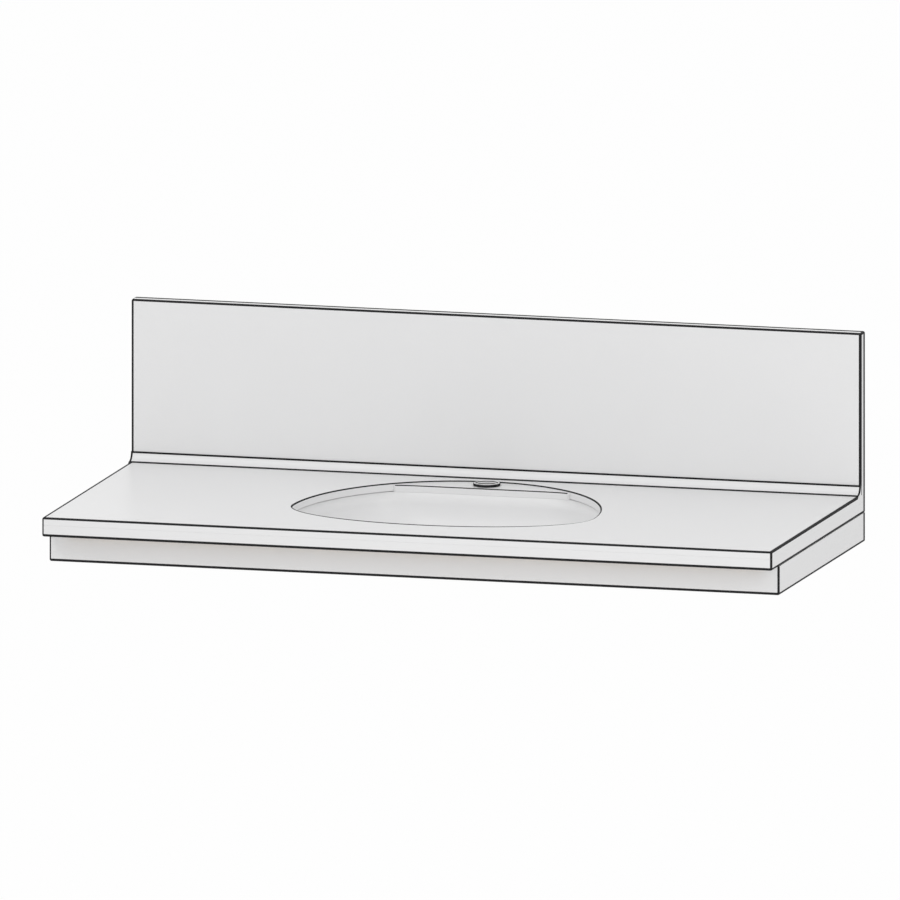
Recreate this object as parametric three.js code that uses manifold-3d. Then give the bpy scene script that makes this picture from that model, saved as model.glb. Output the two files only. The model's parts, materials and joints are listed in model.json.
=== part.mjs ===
// Vanity sink top with an egg-shaped basin, tap ledge, tall splash and apron
// Millimetres, +Z up, +X to the right, +Y towards the wall.
// The origin is the middle of the rear rail's underside, the plane that rests on the cabinet.

import * as THREE from 'three';
import { mergeVertices } from 'three/addons/utils/BufferGeometryUtils.js';
import Module from 'manifold-3d';

const wasm = await Module();
wasm.setup();

// Overall sizes of the top

const topWidth = 1220;
const topDepth = 572;
const slabThickness = 31.75;
const sheetThickness = 12.7;
const easedEdge = 2;
const edgeStripWidth = 25.4;

// Splash and cove

const splashHeight = 265;
const splashThickness = 25.4;
const splashStripHeight = 25.4;
const coveRadius = 15;
const coveLip = 1;

// Apron and sub-frame

const apronHeight = 47.6;
const apronThickness = 12.7;
const apronSetback = 45;
const railThickness = 18;
const crossRailGap = 20;
const cornerBlockLeg = 42;
const cornerBlockHeight = 36;

// Basin opening and tap ledge, seen from above

const rimFrontInset = 97;
const rimHalfWidth = 250;
const rimFrontReach = 127;
const rimRearInset = 58;
const rimArris = 2;
const ledgeDepth = 54;
const ledgeRecess = 2.5;
const ledgeTipWidth = 4;
const ledgeArris = 1.5;
const tapSetback = 29;
const ledgeCornerPower = 20;
const tapHoleRadius = 17.5;
const tapSeatWall = 4.5;
const tapSeatHeight = 4.5;

// Basin shell

const basinDepth = 92;
const basinWall = 8;
const basinFlange = 20;
const basinFlangeThickness = 8;
const basinRearLip = 1;
const basinFullness = 2.6;
const drainSetback = 115;

// Sealant, underlay and clips

const beadThickness = 1.5;
const beadInset = 4;
const beadWidth = 12;
const underlayClearance = 10;
const clipAngles = [-36, 18, 55, 125, 162, 216];
const cutoutAngles = [-90, -36, 18, 55, 90, 125, 162, 216];
const clipWidth = 20;
const clipThickness = 2;
const clipGrip = 10;
const clipFoot = 28;
const clipLegGap = 3;
const clipBendRadius = 2;
const screwRadius = 2;
const screwHeadRadius = 5;
const screwHeadHeight = 3;
const screwCrownShare = 0.7;
const screwBite = 14;

// Overflow

const overflowDrop = 38;
const overflowHoleRadius = 9;
const overflowSleeveRadius = 8.5;
const overflowSleeveWall = 1.5;
const overflowSleeveLength = 9;
const overflowFlangeRadius = 14;
const overflowFlangeThickness = 2;
const channelWidth = 60;
const channelGap = 8;
const channelWall = 3;
const channelTail = 32;

// Waste fitting

const drainHoleRadius = 22.5;
const drainSeatRadius = 33;
const drainSeatRecess = 3.5;
const drainPadRadius = 37;
const wasteFlangeRadius = 32;
const wasteFlangeThickness = 3;
const wasteTubeRadius = 20.5;
const wasteBoreRadius = 17;
const wasteTubeEnd = 3;
const dishRadius = 26;
const dishDepth = 2;
const throatChamfer = 2;
const portWidth = 12;
const portHeight = 5;
const spiderDrop = 26;
const spiderHeight = 5;
const spiderBar = 5;
const spiderBossRadius = 8;
const underFlangeSeal = 1;
const gasketRadius = 33;
const gasketTaper = 4;
const gasketThickness = 5;
const washerRadius = 31;
const washerThickness = 1.5;
const locknutFlats = 54;
const locknutThickness = 8;

// Stopper

const stopperCapRadius = 25;
const stopperCapEdge = 1.6;
const stopperCapCrown = 2.6;
const stopperSealInset = 2.5;
const stopperSealThickness = 1.2;
const stopperPlugRadius = 9;
const stopperPlugLength = 5;
const stemRadius = 3;
const stemLength = 22;
const cartridgeRadius = 6;
const cartridgeNeckRadius = 4.5;
const cartridgeNeckLength = 8;
const cartridgeFloor = 3;

// Clearances and fineness

const glueLine = 0.2;
const seam = 0.3;
const runningGap = 0.3;
const overrun = 5;
const weldDistance = 0.0001;
const rimSteps = 144;
const basinSteps = 80;
const innerRings = 11;
const outerRings = 8;
const roundSteps = 40;
const smallRoundSteps = 20;
const screwSteps = 12;
const arcSteps = 6;
const arrisSteps = 2;
const bendSteps = 3;
const channelSteps = 9;

// Levels and places that follow from the sizes

const deckZ = apronHeight + slabThickness;
const sheetBottomZ = deckZ - sheetThickness;
const slabBottomZ = apronHeight;
const wallY = railThickness / 2;
const frontY = wallY - topDepth;
const leftX = -topWidth / 2;
const rightX = topWidth / 2;
const widestY = frontY + rimFrontInset + rimFrontReach;
const rimRearY = wallY - rimRearInset;
const rimRearReach = rimRearY - widestY;
const ledgeFrontY = rimRearY - ledgeDepth;
const drainY = ledgeFrontY - drainSetback;
const tapY = ledgeFrontY + tapSetback;
const ledgeTopZ = deckZ - ledgeRecess;
const flangeTopZ = sheetBottomZ - beadThickness;
const flangeBottomZ = flangeTopZ - basinFlangeThickness;
const basinRearY = ledgeFrontY + basinWall + basinRearLip;
const basinFloorZ = deckZ - basinDepth;
const basinUnderZ = basinFloorZ - basinWall;
const drainSeatZ = basinFloorZ - drainSeatRecess;
const underlayOffset = basinFlange + underlayClearance;
const splashBottomZ = deckZ + glueLine;
const splashTopZ = deckZ + splashHeight;
const splashFrontY = wallY - splashThickness;
const splashLayer = (splashThickness - glueLine) / 2;
const channelFloorZ = basinUnderZ - channelGap;
const channelUnderZ = channelFloorZ - channelWall;
const overflowZ = deckZ - overflowDrop;
const wasteTopZ = drainSeatZ + underFlangeSeal + wasteFlangeThickness;
const gasketTopZ = channelUnderZ - glueLine;
const gasketBottomZ = gasketTopZ - gasketThickness;
const washerBottomZ = gasketBottomZ - glueLine - washerThickness;
const locknutBottomZ = washerBottomZ - glueLine - locknutThickness;
const wasteEndZ = locknutBottomZ - wasteTubeEnd;
const spiderTopZ = wasteTopZ - spiderDrop;
const dishFloorZ = wasteTopZ - dishDepth;
const capLowZ = dishFloorZ + runningGap + stopperSealThickness + glueLine;
const plugLowZ = capLowZ - glueLine - stopperPlugLength;

// Finishes

const solidSurface = { color: 0xe1e1e1, roughness: 0.42, metalness: 0 };
const plywood = { color: 0xc8a878, roughness: 0.7, metalness: 0 };
const chrome = { color: 0xd5d8da, roughness: 0.12, metalness: 1 };
const brass = { color: 0xb89a55, roughness: 0.35, metalness: 0.9 };
const zincSteel = { color: 0xb4b8ba, roughness: 0.4, metalness: 0.9 };
const rubber = { color: 0x2b2c2e, roughness: 0.85, metalness: 0 };
const silicone = { color: 0xd9dad8, roughness: 0.6, metalness: 0 };
const acetal = { color: 0xf0f0ec, roughness: 0.45, metalness: 0 };

const sinkTop = new THREE.Group();

function addPart(name, geometry, finish, position = new THREE.Vector3(), turn = 0) {
  const mesh = new THREE.Mesh(geometry, new THREE.MeshStandardMaterial(finish));
  mesh.name = name;
  mesh.position.copy(position);
  mesh.rotation.z = turn;
  sinkTop.add(mesh);
  return mesh;
}

// Closed meshes to solids and back

function solidOf(geometry) {
  const bare = geometry.clone();
  bare.deleteAttribute('normal');
  bare.deleteAttribute('uv');
  const merged = mergeVertices(bare, weldDistance);
  const vertProperties = new Float32Array(merged.attributes.position.array);
  const triVerts = new Uint32Array(merged.index.array);
  return new wasm.Manifold(new wasm.Mesh({ numProp: 3, vertProperties, triVerts }));
}

function geometryOf(solid) {
  const { vertProperties, triVerts } = solid.getMesh();
  const geometry = new THREE.BufferGeometry();
  geometry.setAttribute('position', new THREE.BufferAttribute(new Float32Array(vertProperties), 3));
  geometry.setIndex(new THREE.BufferAttribute(new Uint32Array(triVerts), 1));
  geometry.computeVertexNormals();
  return geometry;
}

function cut(base, ...tools) {
  const start = solidOf(base);
  const left = tools.reduce((solid, tool) => solid.subtract(solidOf(tool)), start);
  return geometryOf(left);
}

function joinAll(base, ...others) {
  const start = solidOf(base);
  const whole = others.reduce((solid, other) => solid.add(solidOf(other)), start);
  return geometryOf(whole);
}

// Basic forms

function boxBetween(low, high) {
  const size = new THREE.Vector3().subVectors(high, low);
  const centre = new THREE.Vector3().addVectors(low, high).multiplyScalar(1 / 2);
  return new THREE.BoxGeometry(size.x, size.y, size.z).translate(centre.x, centre.y, centre.z);
}

function addBoard(name, finish, low, high) {
  const size = new THREE.Vector3().subVectors(high, low);
  const centre = new THREE.Vector3().addVectors(low, high).multiplyScalar(1 / 2);
  return addPart(name, new THREE.BoxGeometry(size.x, size.y, size.z), finish, centre);
}

function plateBetween(shape, lowZ, highZ) {
  const options = { depth: highZ - lowZ, bevelEnabled: false, curveSegments: smallRoundSteps };
  return new THREE.ExtrudeGeometry(shape, options).translate(0, 0, lowZ);
}

// A section drawn in Y and Z, run along X from one place to another
function runAlongX(section, lowX, highX, steps = arcSteps) {
  const options = { depth: highX - lowX, bevelEnabled: false, curveSegments: steps };
  const turn = new THREE.Matrix4().makeBasis(
    new THREE.Vector3(0, 1, 0),
    new THREE.Vector3(0, 0, 1),
    new THREE.Vector3(1, 0, 0),
  );
  return new THREE.ExtrudeGeometry(section, options).applyMatrix4(turn).translate(lowX, 0, 0);
}

// A profile of radius and height pairs, turned about a vertical axis
function turned(profile, steps = roundSteps) {
  const points = profile.map(([radius, height]) => new THREE.Vector2(radius, height));
  points.push(points[0].clone());
  return new THREE.LatheGeometry(points, steps).rotateX(Math.PI / 2);
}

function ring(innerRadius, outerRadius, lowZ, highZ, steps = roundSteps) {
  return turned([
    [innerRadius, lowZ],
    [outerRadius, lowZ],
    [outerRadius, highZ],
    [innerRadius, highZ],
  ], steps);
}

function post(radius, lowZ, highZ, steps = roundSteps) {
  const middle = (lowZ + highZ) / 2;
  return new THREE.CylinderGeometry(radius, radius, highZ - lowZ, steps)
    .rotateX(Math.PI / 2)
    .translate(0, 0, middle);
}

// The rim oval is two half ellipses that share their widest line: a short one in front and a long
// one behind. All basin outlines are distances from the drain's axis in each direction.

function ovalReach(angle, offset) {
  const across = Math.cos(angle);
  const back = Math.sin(angle);
  const start = drainY - widestY;
  const halfWidth = rimHalfWidth + offset;
  const reachWith = (halfDepth) => {
    const a = (across / halfWidth) ** 2 + (back / halfDepth) ** 2;
    const b = 2 * start * back / halfDepth ** 2;
    const c = (start / halfDepth) ** 2 - 1;
    return (-b + Math.sqrt(b * b - 4 * a * c)) / (2 * a);
  };
  const rear = reachWith(rimRearReach + offset);
  const landsBehind = start + rear * back >= 0;
  return landsBehind ? rear : reachWith(rimFrontReach + offset);
}

// The deep part of the basin follows the oval and is cut straight by the ledge's front edge,
// with the two corners rounded by a soft minimum of both distances.
function basinReach(angle, offset) {
  const oval = ovalReach(angle, offset);
  const back = Math.sin(angle);
  if (back <= 0) return oval;
  const straight = (ledgeFrontY - drainY + offset) / back;
  const sum = (oval / straight) ** ledgeCornerPower + 1;
  return oval / sum ** (1 / ledgeCornerPower);
}

function angleAt(index, count) {
  return 2 * Math.PI * index / count;
}

function polar(angle, radius) {
  return new THREE.Vector2(radius * Math.cos(angle), radius * Math.sin(angle) + drainY);
}

function ovalOutline(offset, count) {
  const outline = [];
  for (let i = 0; i < count; i += 1) {
    const angle = angleAt(i, count);
    outline.push(polar(angle, ovalReach(angle, offset)));
  }
  return outline;
}

function circlePath(x, y, radius, count = roundSteps) {
  const points = [];
  for (let i = 0; i < count; i += 1) {
    const angle = angleAt(i, count);
    points.push(new THREE.Vector2(x + radius * Math.cos(angle), y + radius * Math.sin(angle)));
  }
  return points;
}

function plateShape(outline, ...holes) {
  const shape = new THREE.Shape(outline);
  holes.forEach((hole) => shape.holes.push(new THREE.Path(hole)));
  return shape;
}

// A closed skin over rings of points that follow one another round the body's section
function skinOfRings(rings) {
  const count = rings[0].length;
  const positions = rings.flat().flatMap((point) => [point.x, point.y, point.z]);
  const faces = [];
  for (let i = 0; i < rings.length; i += 1) {
    const here = i * count;
    const next = ((i + 1) % rings.length) * count;
    for (let j = 0; j < count; j += 1) {
      const k = (j + 1) % count;
      faces.push(here + j, next + k, next + j);
      faces.push(here + j, here + k, next + k);
    }
  }
  const geometry = new THREE.BufferGeometry();
  geometry.setAttribute('position', new THREE.Float32BufferAttribute(positions, 3));
  geometry.setIndex(faces);
  return geometry;
}

function levelRing(reach, z, steps = basinSteps) {
  const points = [];
  for (let i = 0; i < steps; i += 1) {
    const angle = angleAt(i, steps);
    const flat = polar(angle, reach(angle));
    points.push(new THREE.Vector3(flat.x, flat.y, z));
  }
  return points;
}

// A tool that widens towards its top by a quarter round, so that what it cuts gets a soft arris
function flaredTool(reach, arris, lowZ, topZ) {
  const rings = [levelRing(() => 0, lowZ, rimSteps)];
  rings.push(levelRing((angle) => reach(angle, 0), lowZ, rimSteps));
  for (let i = 0; i <= arrisSteps; i += 1) {
    const turn = (i / arrisSteps) * (Math.PI / 2);
    const offset = arris * (1 - Math.cos(turn));
    const z = topZ - arris * (1 - Math.sin(turn));
    rings.push(levelRing((angle) => reach(angle, offset), z, rimSteps));
  }
  rings.push(levelRing((angle) => reach(angle, arris), topZ + overrun, rimSteps));
  rings.push(levelRing(() => 0, topZ + overrun, rimSteps));
  return skinOfRings(rings);
}

// Worktop sheet and the strips that thicken its edge

function makeWorktopSheet() {
  const section = new THREE.Shape();
  section.moveTo(frontY, sheetBottomZ);
  section.lineTo(wallY, sheetBottomZ);
  section.lineTo(wallY, deckZ);
  section.lineTo(frontY + easedEdge, deckZ);
  section.absarc(frontY + easedEdge, deckZ - easedEdge, easedEdge, Math.PI / 2, Math.PI);
  const slab = runAlongX(section, leftX, rightX);
  const punch = flaredTool(ovalReach, rimArris, sheetBottomZ - overrun, deckZ);
  addPart('worktop_sheet', cut(slab, punch), solidSurface);
}

function makeEdgeStrips() {
  const topZ = sheetBottomZ - glueLine;
  const section = new THREE.Shape();
  section.moveTo(frontY + easedEdge, slabBottomZ);
  section.lineTo(frontY + edgeStripWidth, slabBottomZ);
  section.lineTo(frontY + edgeStripWidth, topZ);
  section.lineTo(frontY, topZ);
  section.lineTo(frontY, slabBottomZ + easedEdge);
  section.absarc(frontY + easedEdge, slabBottomZ + easedEdge, easedEdge, Math.PI, 1.5 * Math.PI);
  addPart('edge_strip_front', runAlongX(section, leftX, rightX), solidSurface);
  const startY = frontY + edgeStripWidth + glueLine;
  for (const [name, lowX] of [['left', leftX], ['right', rightX - edgeStripWidth]]) {
    const low = new THREE.Vector3(lowX, startY, slabBottomZ);
    const high = new THREE.Vector3(lowX + edgeStripWidth, wallY, topZ);
    addBoard(`edge_strip_${name}`, solidSurface, low, high);
  }
}

// Places on the rim oval and the direction that points squarely away from it there

function rimPlace(degrees) {
  const angle = THREE.MathUtils.degToRad(degrees);
  const across = Math.cos(angle);
  const back = Math.sin(angle);
  const reach = back < 0 ? rimFrontReach : rimRearReach;
  const here = new THREE.Vector2(rimHalfWidth * across, widestY + reach * back);
  const outward = Math.atan2(back / reach, across / rimHalfWidth);
  return { here, outward };
}

function clipPlaces() {
  return clipAngles.map(rimPlace);
}

// The underlay's cut-out has straight saw cuts, each square to the rim oval at one place
function cutoutOutline() {
  const cuts = cutoutAngles.map((degrees) => {
    const { here, outward } = rimPlace(degrees);
    const normal = new THREE.Vector2(Math.cos(outward), Math.sin(outward));
    return { normal, distance: normal.dot(here) + underlayOffset };
  });
  return cuts.map((first, index) => {
    const second = cuts[(index + 1) % cuts.length];
    const cross = first.normal.cross(second.normal);
    const x = first.distance * second.normal.y - second.distance * first.normal.y;
    const y = second.distance * first.normal.x - first.distance * second.normal.x;
    return new THREE.Vector2(x / cross, y / cross);
  });
}

const clipLegOut = basinFlange + clipLegGap;
const clipScrewOut = clipLegOut + underlayClearance + clipFoot / 2;

function screwPlace({ here, outward }) {
  const x = here.x + clipScrewOut * Math.cos(outward);
  const y = here.y + clipScrewOut * Math.sin(outward);
  return new THREE.Vector2(x, y);
}

function makeUnderlay() {
  const topZ = sheetBottomZ - glueLine;
  const inset = edgeStripWidth + glueLine;
  const outline = [
    new THREE.Vector2(leftX + inset, frontY + inset),
    new THREE.Vector2(rightX - inset, frontY + inset),
    new THREE.Vector2(rightX - inset, wallY),
    new THREE.Vector2(leftX + inset, wallY),
  ];
  const panel = plateBetween(
    plateShape(outline, cutoutOutline()),
    slabBottomZ,
    topZ,
  );
  const pilots = clipPlaces().map((place) => {
    const at = screwPlace(place);
    const tip = slabBottomZ + screwBite + runningGap;
    return post(screwRadius + runningGap, slabBottomZ - overrun, tip, screwSteps)
      .translate(at.x, at.y, 0);
  });
  addPart('underlay_panel', cut(panel, ...pilots), plywood);
}

// Splash: a front sheet on a backer board, with strips that give it its full thickness

function makeSplash() {
  const sheetBackY = splashFrontY + splashLayer;
  const backerFrontY = wallY - splashLayer;
  const section = new THREE.Shape();
  section.moveTo(splashFrontY, splashBottomZ);
  section.lineTo(sheetBackY, splashBottomZ);
  section.lineTo(sheetBackY, splashTopZ);
  section.lineTo(splashFrontY + easedEdge, splashTopZ);
  section.absarc(splashFrontY + easedEdge, splashTopZ - easedEdge, easedEdge, Math.PI / 2, Math.PI);
  addPart('splash_sheet', runAlongX(section, leftX, rightX), solidSurface);

  const stripLowZ = splashTopZ - splashStripHeight;
  addBoard('splash_strip_top', solidSurface,
    new THREE.Vector3(leftX, backerFrontY, stripLowZ),
    new THREE.Vector3(rightX, wallY, splashTopZ));

  const innerX = rightX - splashStripHeight;
  const sideTopZ = stripLowZ - glueLine;
  for (const [name, lowX] of [['left', leftX], ['right', innerX]]) {
    addBoard(`splash_strip_${name}`, solidSurface,
      new THREE.Vector3(lowX, backerFrontY, splashBottomZ),
      new THREE.Vector3(lowX + splashStripHeight, wallY, sideTopZ));
  }
  addBoard('splash_backer', plywood,
    new THREE.Vector3(glueLine - innerX, backerFrontY, splashBottomZ),
    new THREE.Vector3(innerX - glueLine, wallY, sideTopZ));
}

// Cove strip: a concave quarter round that turns the deck up into the splash

function makeCove() {
  const backY = splashFrontY - glueLine;
  const lowZ = deckZ + glueLine;
  const frontOfCoveY = backY - coveLip - coveRadius;
  const topOfCoveZ = lowZ + coveLip + coveRadius;
  const section = new THREE.Shape();
  section.moveTo(frontOfCoveY, lowZ);
  section.lineTo(backY, lowZ);
  section.lineTo(backY, topOfCoveZ);
  section.lineTo(backY - coveLip, topOfCoveZ);
  section.absarc(frontOfCoveY, topOfCoveZ, coveRadius, 0, -Math.PI / 2, true);
  addPart('cove_strip', runAlongX(section, leftX, rightX), solidSurface);
}

// Apron strips, flush with the ends of the slab and set back from its front

function makeApron() {
  const topZ = slabBottomZ - glueLine;
  const apronFrontY = frontY + apronSetback;
  const sideFrontY = apronFrontY + apronThickness + glueLine;
  addBoard('apron_front', solidSurface,
    new THREE.Vector3(leftX, apronFrontY, 0),
    new THREE.Vector3(rightX, apronFrontY + apronThickness, topZ));
  for (const [name, lowX] of [['left', leftX], ['right', rightX - apronThickness]]) {
    addBoard(`apron_${name}`, solidSurface,
      new THREE.Vector3(lowX, sideFrontY, 0),
      new THREE.Vector3(lowX + apronThickness, wallY, topZ));
  }
}

// Sub-frame of rails behind the apron

function makeFrame() {
  const topZ = slabBottomZ - glueLine;
  const frameRightX = rightX - apronThickness - glueLine;
  const frameFrontY = frontY + apronSetback + apronThickness + glueLine;
  const innerFrontY = frameFrontY + railThickness;
  const innerRearY = wallY - railThickness;
  const innerRightX = frameRightX - railThickness;
  addBoard('rail_front', plywood,
    new THREE.Vector3(-frameRightX, frameFrontY, 0),
    new THREE.Vector3(frameRightX, innerFrontY, topZ));
  addBoard('rail_rear', plywood,
    new THREE.Vector3(-frameRightX, innerRearY, 0),
    new THREE.Vector3(frameRightX, wallY, topZ));

  const crossX = rimHalfWidth + clipScrewOut + clipFoot / 2 + crossRailGap;
  const crossings = [
    ['rail_left', -frameRightX],
    ['rail_right', innerRightX],
    ['rail_cross_left', -crossX - railThickness],
    ['rail_cross_right', crossX],
  ];
  for (const [name, lowX] of crossings) {
    addBoard(name, plywood,
      new THREE.Vector3(lowX, innerFrontY + glueLine, 0),
      new THREE.Vector3(lowX + railThickness, innerRearY - glueLine, topZ));
  }

  const corners = [
    ['front_left', -1, innerFrontY, 1],
    ['front_right', 1, innerFrontY, 1],
    ['rear_left', -1, innerRearY, -1],
    ['rear_right', 1, innerRearY, -1],
  ];
  for (const [name, side, innerY, inward] of corners) {
    const cornerX = side * (innerRightX - glueLine);
    const cornerY = innerY + inward * glueLine;
    const outline = [
      new THREE.Vector2(cornerX, cornerY),
      new THREE.Vector2(cornerX - side * cornerBlockLeg, cornerY),
      new THREE.Vector2(cornerX, cornerY + inward * cornerBlockLeg),
    ];
    const block = plateBetween(new THREE.Shape(outline), topZ - cornerBlockHeight, topZ);
    addPart(`corner_block_${name}`, block, plywood);
  }
}

// The basin shell is one closed skin that runs down the inside, through the drain hole, up the
// outside and round the flange

// A full, rounded bowl section: share of the reach left and share of the depth gained
function bowlShares(turnShare) {
  const turn = turnShare * Math.PI / 2;
  const reachShare = Math.cos(turn) ** (2 / basinFullness);
  const depthShare = Math.sin(turn) ** (2 / basinFullness);
  return { reachShare, depthShare };
}

function bowlRing(turnShare, footRadius, offset, topZ, floorZ) {
  const { reachShare, depthShare } = bowlShares(turnShare);
  const reach = (angle) => THREE.MathUtils.lerp(footRadius, basinReach(angle, offset), reachShare);
  return levelRing(reach, THREE.MathUtils.lerp(topZ, floorZ, depthShare));
}

// The flange follows the oval and stops straight at the rear, where the tap ledge takes over
function flangeReach(angle) {
  const oval = ovalReach(angle, basinFlange);
  const back = Math.sin(angle);
  return back > 0 ? Math.min(oval, (basinRearY - drainY) / back) : oval;
}

function basinRings() {
  const rings = [];
  for (let i = 0; i < innerRings; i += 1) {
    rings.push(bowlRing(i / innerRings, drainSeatRadius, 0, flangeTopZ, basinFloorZ));
  }
  rings.push(levelRing(() => drainSeatRadius, basinFloorZ));
  rings.push(levelRing(() => drainSeatRadius, drainSeatZ));
  rings.push(levelRing(() => drainHoleRadius, drainSeatZ));
  rings.push(levelRing(() => drainHoleRadius, basinUnderZ));
  rings.push(levelRing(() => drainPadRadius, basinUnderZ));
  for (let i = outerRings - 1; i >= 0; i -= 1) {
    rings.push(bowlRing(i / outerRings, drainPadRadius, basinWall, flangeBottomZ, basinUnderZ));
  }
  rings.push(levelRing(flangeReach, flangeBottomZ));
  rings.push(levelRing(flangeReach, flangeTopZ));
  return rings;
}

// The body that fills the basin's outside, grown by a clearance, to trim what hugs the basin
function basinPlug(clearance) {
  const rings = [];
  const floorZ = basinUnderZ - clearance;
  rings.push(levelRing(() => 0, floorZ));
  for (let i = outerRings; i >= 0; i -= 1) {
    const offset = basinWall + clearance;
    rings.push(bowlRing(i / outerRings, drainPadRadius, offset, flangeBottomZ, floorZ));
  }
  rings.push(levelRing((angle) => basinReach(angle, basinWall + clearance), deckZ));
  rings.push(levelRing(() => 0, deckZ));
  return rings;
}

// The wall's lean where the overflow sits, from two places on the inner bowl section
function overflowWall() {
  const front = -Math.PI / 2;
  const depthShare = (flangeTopZ - overflowZ) / (flangeTopZ - basinFloorZ);
  const sine = depthShare ** (basinFullness / 2);
  const turnShare = Math.asin(sine) / (Math.PI / 2);
  const placeAt = (share) => {
    const shares = bowlShares(share);
    const reach = THREE.MathUtils.lerp(drainSeatRadius, basinReach(front, 0), shares.reachShare);
    const z = THREE.MathUtils.lerp(flangeTopZ, basinFloorZ, shares.depthShare);
    return new THREE.Vector2(drainY - reach, z);
  };
  const step = 1 / roundSteps;
  const here = placeAt(turnShare);
  const along = placeAt(turnShare + step).sub(placeAt(turnShare - step));
  return { y: here.x, z: here.y, lean: Math.atan2(along.x, -along.y) };
}

// A turned piece made along Z is laid over so that its axis meets the basin's front wall squarely
function layOnWall(geometry, wall) {
  return geometry.rotateX(wall.lean - Math.PI / 2).translate(0, wall.y, wall.z);
}

function makeBasin() {
  const wall = overflowWall();
  const shell = skinOfRings(basinRings());
  const drilling = 2 * basinWall;
  const overflowHole = layOnWall(post(overflowHoleRadius, -drilling, drilling), wall);
  const spotFace = layOnWall(post(overflowFlangeRadius + seam, 0, drilling), wall);
  addPart('basin', cut(shell, overflowHole, spotFace), solidSurface);
}

function makeSealantBead() {
  const outer = ovalOutline(beadInset + beadWidth, basinSteps);
  const inner = ovalOutline(beadInset, basinSteps);
  const bead = plateBetween(
    plateShape(outer, inner),
    flangeTopZ + 2 * glueLine,
    sheetBottomZ - glueLine / 2,
  );
  addPart('sealant_bead', bead, silicone);
}

// Tap ledge: a rebated block. Its upper part fills the crescent between the oval's rear arc and
// the basin's straight inner edge, and its lower part reaches out under the sheet as the flange
// does, behind the basin.

function makeTapLedge() {
  const outer = [];
  const inner = [];
  for (let i = 0; i < rimSteps / 2; i += 1) {
    const angle = angleAt(i, rimSteps);
    const outerReach = ovalReach(angle, -seam);
    const innerReach = basinReach(angle, 0);
    if (outerReach - innerReach > ledgeTipWidth) {
      outer.push(polar(angle, outerReach));
      inner.push(polar(angle, innerReach));
    }
  }
  const crescent = new THREE.Shape(outer.concat(inner.reverse()));
  const upper = plateBetween(crescent, flangeTopZ + glueLine, ledgeTopZ);
  const flangeShape = new THREE.Shape(ovalOutline(basinFlange, rimSteps));
  const lower = plateBetween(flangeShape, flangeBottomZ, flangeTopZ + 2 * glueLine - seam / 2);
  const basinSide = boxBetween(
    new THREE.Vector3(leftX, frontY, flangeBottomZ - overrun),
    new THREE.Vector3(rightX, basinRearY + seam, deckZ),
  );
  const tapHole = post(tapHoleRadius, flangeBottomZ - overrun, deckZ).translate(0, tapY, 0);
  const block = joinAll(upper, cut(lower, basinSide));
  const arrisTool = flaredTool(basinReach, ledgeArris, ledgeTopZ - 2 * ledgeArris, ledgeTopZ);
  addPart('tap_ledge', cut(block, tapHole, arrisTool), solidSurface);
}

function makeTapSeat() {
  const lowZ = ledgeTopZ + glueLine;
  const seat = turned([
    [tapHoleRadius, lowZ],
    [tapHoleRadius + tapSeatWall, lowZ],
    [tapHoleRadius + tapSeatWall, lowZ + tapSeatHeight - glueLine],
    [tapHoleRadius, lowZ + tapSeatHeight - glueLine],
  ]);
  addPart('tap_seat', seat, solidSurface, new THREE.Vector3(0, tapY, 0));
}

// Clips: bent steel strips screwed up into the underlay, with their tips under the flange

function makeClips() {
  const tipZ = flangeBottomZ - glueLine;
  const footZ = slabBottomZ - glueLine;
  const legOut = clipLegOut;
  const endOut = clipScrewOut + clipFoot / 2;
  const inner = clipBendRadius;
  const outer = clipBendRadius + clipThickness;
  const quarter = Math.PI / 2;
  const section = new THREE.Shape();
  section.moveTo(basinFlange - clipGrip, tipZ);
  section.lineTo(basinFlange - clipGrip, tipZ - clipThickness);
  section.absarc(legOut - outer, tipZ - outer, inner, quarter, 0, true);
  section.absarc(legOut + inner, footZ + inner, outer, Math.PI, 3 * quarter);
  section.lineTo(endOut, footZ - clipThickness);
  section.lineTo(endOut, footZ);
  section.absarc(legOut + inner, footZ + inner, inner, 3 * quarter, Math.PI, true);
  section.absarc(legOut - outer, tipZ - outer, outer, 0, quarter);
  const strip = runAlongX(section, -clipWidth / 2, clipWidth / 2, bendSteps).rotateZ(-quarter);
  const hole = post(screwRadius + runningGap, footZ - overrun, footZ + overrun, screwSteps)
    .translate(clipScrewOut, 0, 0);
  const clip = cut(strip, hole);
  const headTopZ = footZ - clipThickness - glueLine;
  const screw = turned([
    [0, headTopZ - screwHeadHeight],
    [screwHeadRadius * screwCrownShare, headTopZ - screwHeadHeight],
    [screwHeadRadius, headTopZ - screwHeadHeight / 2],
    [screwHeadRadius, headTopZ],
    [screwRadius, headTopZ],
    [screwRadius, slabBottomZ + screwBite - screwRadius],
    [0, slabBottomZ + screwBite],
  ], screwSteps);
  clipPlaces().forEach((place, index) => {
    const at = new THREE.Vector3(place.here.x, place.here.y, 0);
    addPart(`basin_clip_${index + 1}`, clip.clone(), zincSteel, at, place.outward);
    const hold = screwPlace(place);
    addPart(`clip_screw_${index + 1}`, screw.clone(), zincSteel, new THREE.Vector3(hold.x, hold.y, 0));
  });
}

// Overflow trim and the channel behind it

function makeOverflowRing() {
  const wall = overflowWall();
  const flangeBack = seam;
  const trim = turned([
    [overflowSleeveRadius - overflowSleeveWall, -overflowSleeveLength],
    [overflowSleeveRadius, -overflowSleeveLength],
    [overflowSleeveRadius, flangeBack],
    [overflowFlangeRadius, flangeBack],
    [overflowFlangeRadius, flangeBack + overflowFlangeThickness / 2],
    [overflowFlangeRadius - overflowFlangeThickness / 2, flangeBack + overflowFlangeThickness],
    [overflowSleeveRadius - overflowSleeveWall, flangeBack + overflowFlangeThickness],
  ]);
  addPart('overflow_ring', layOnWall(trim, wall), chrome);
}

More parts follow.
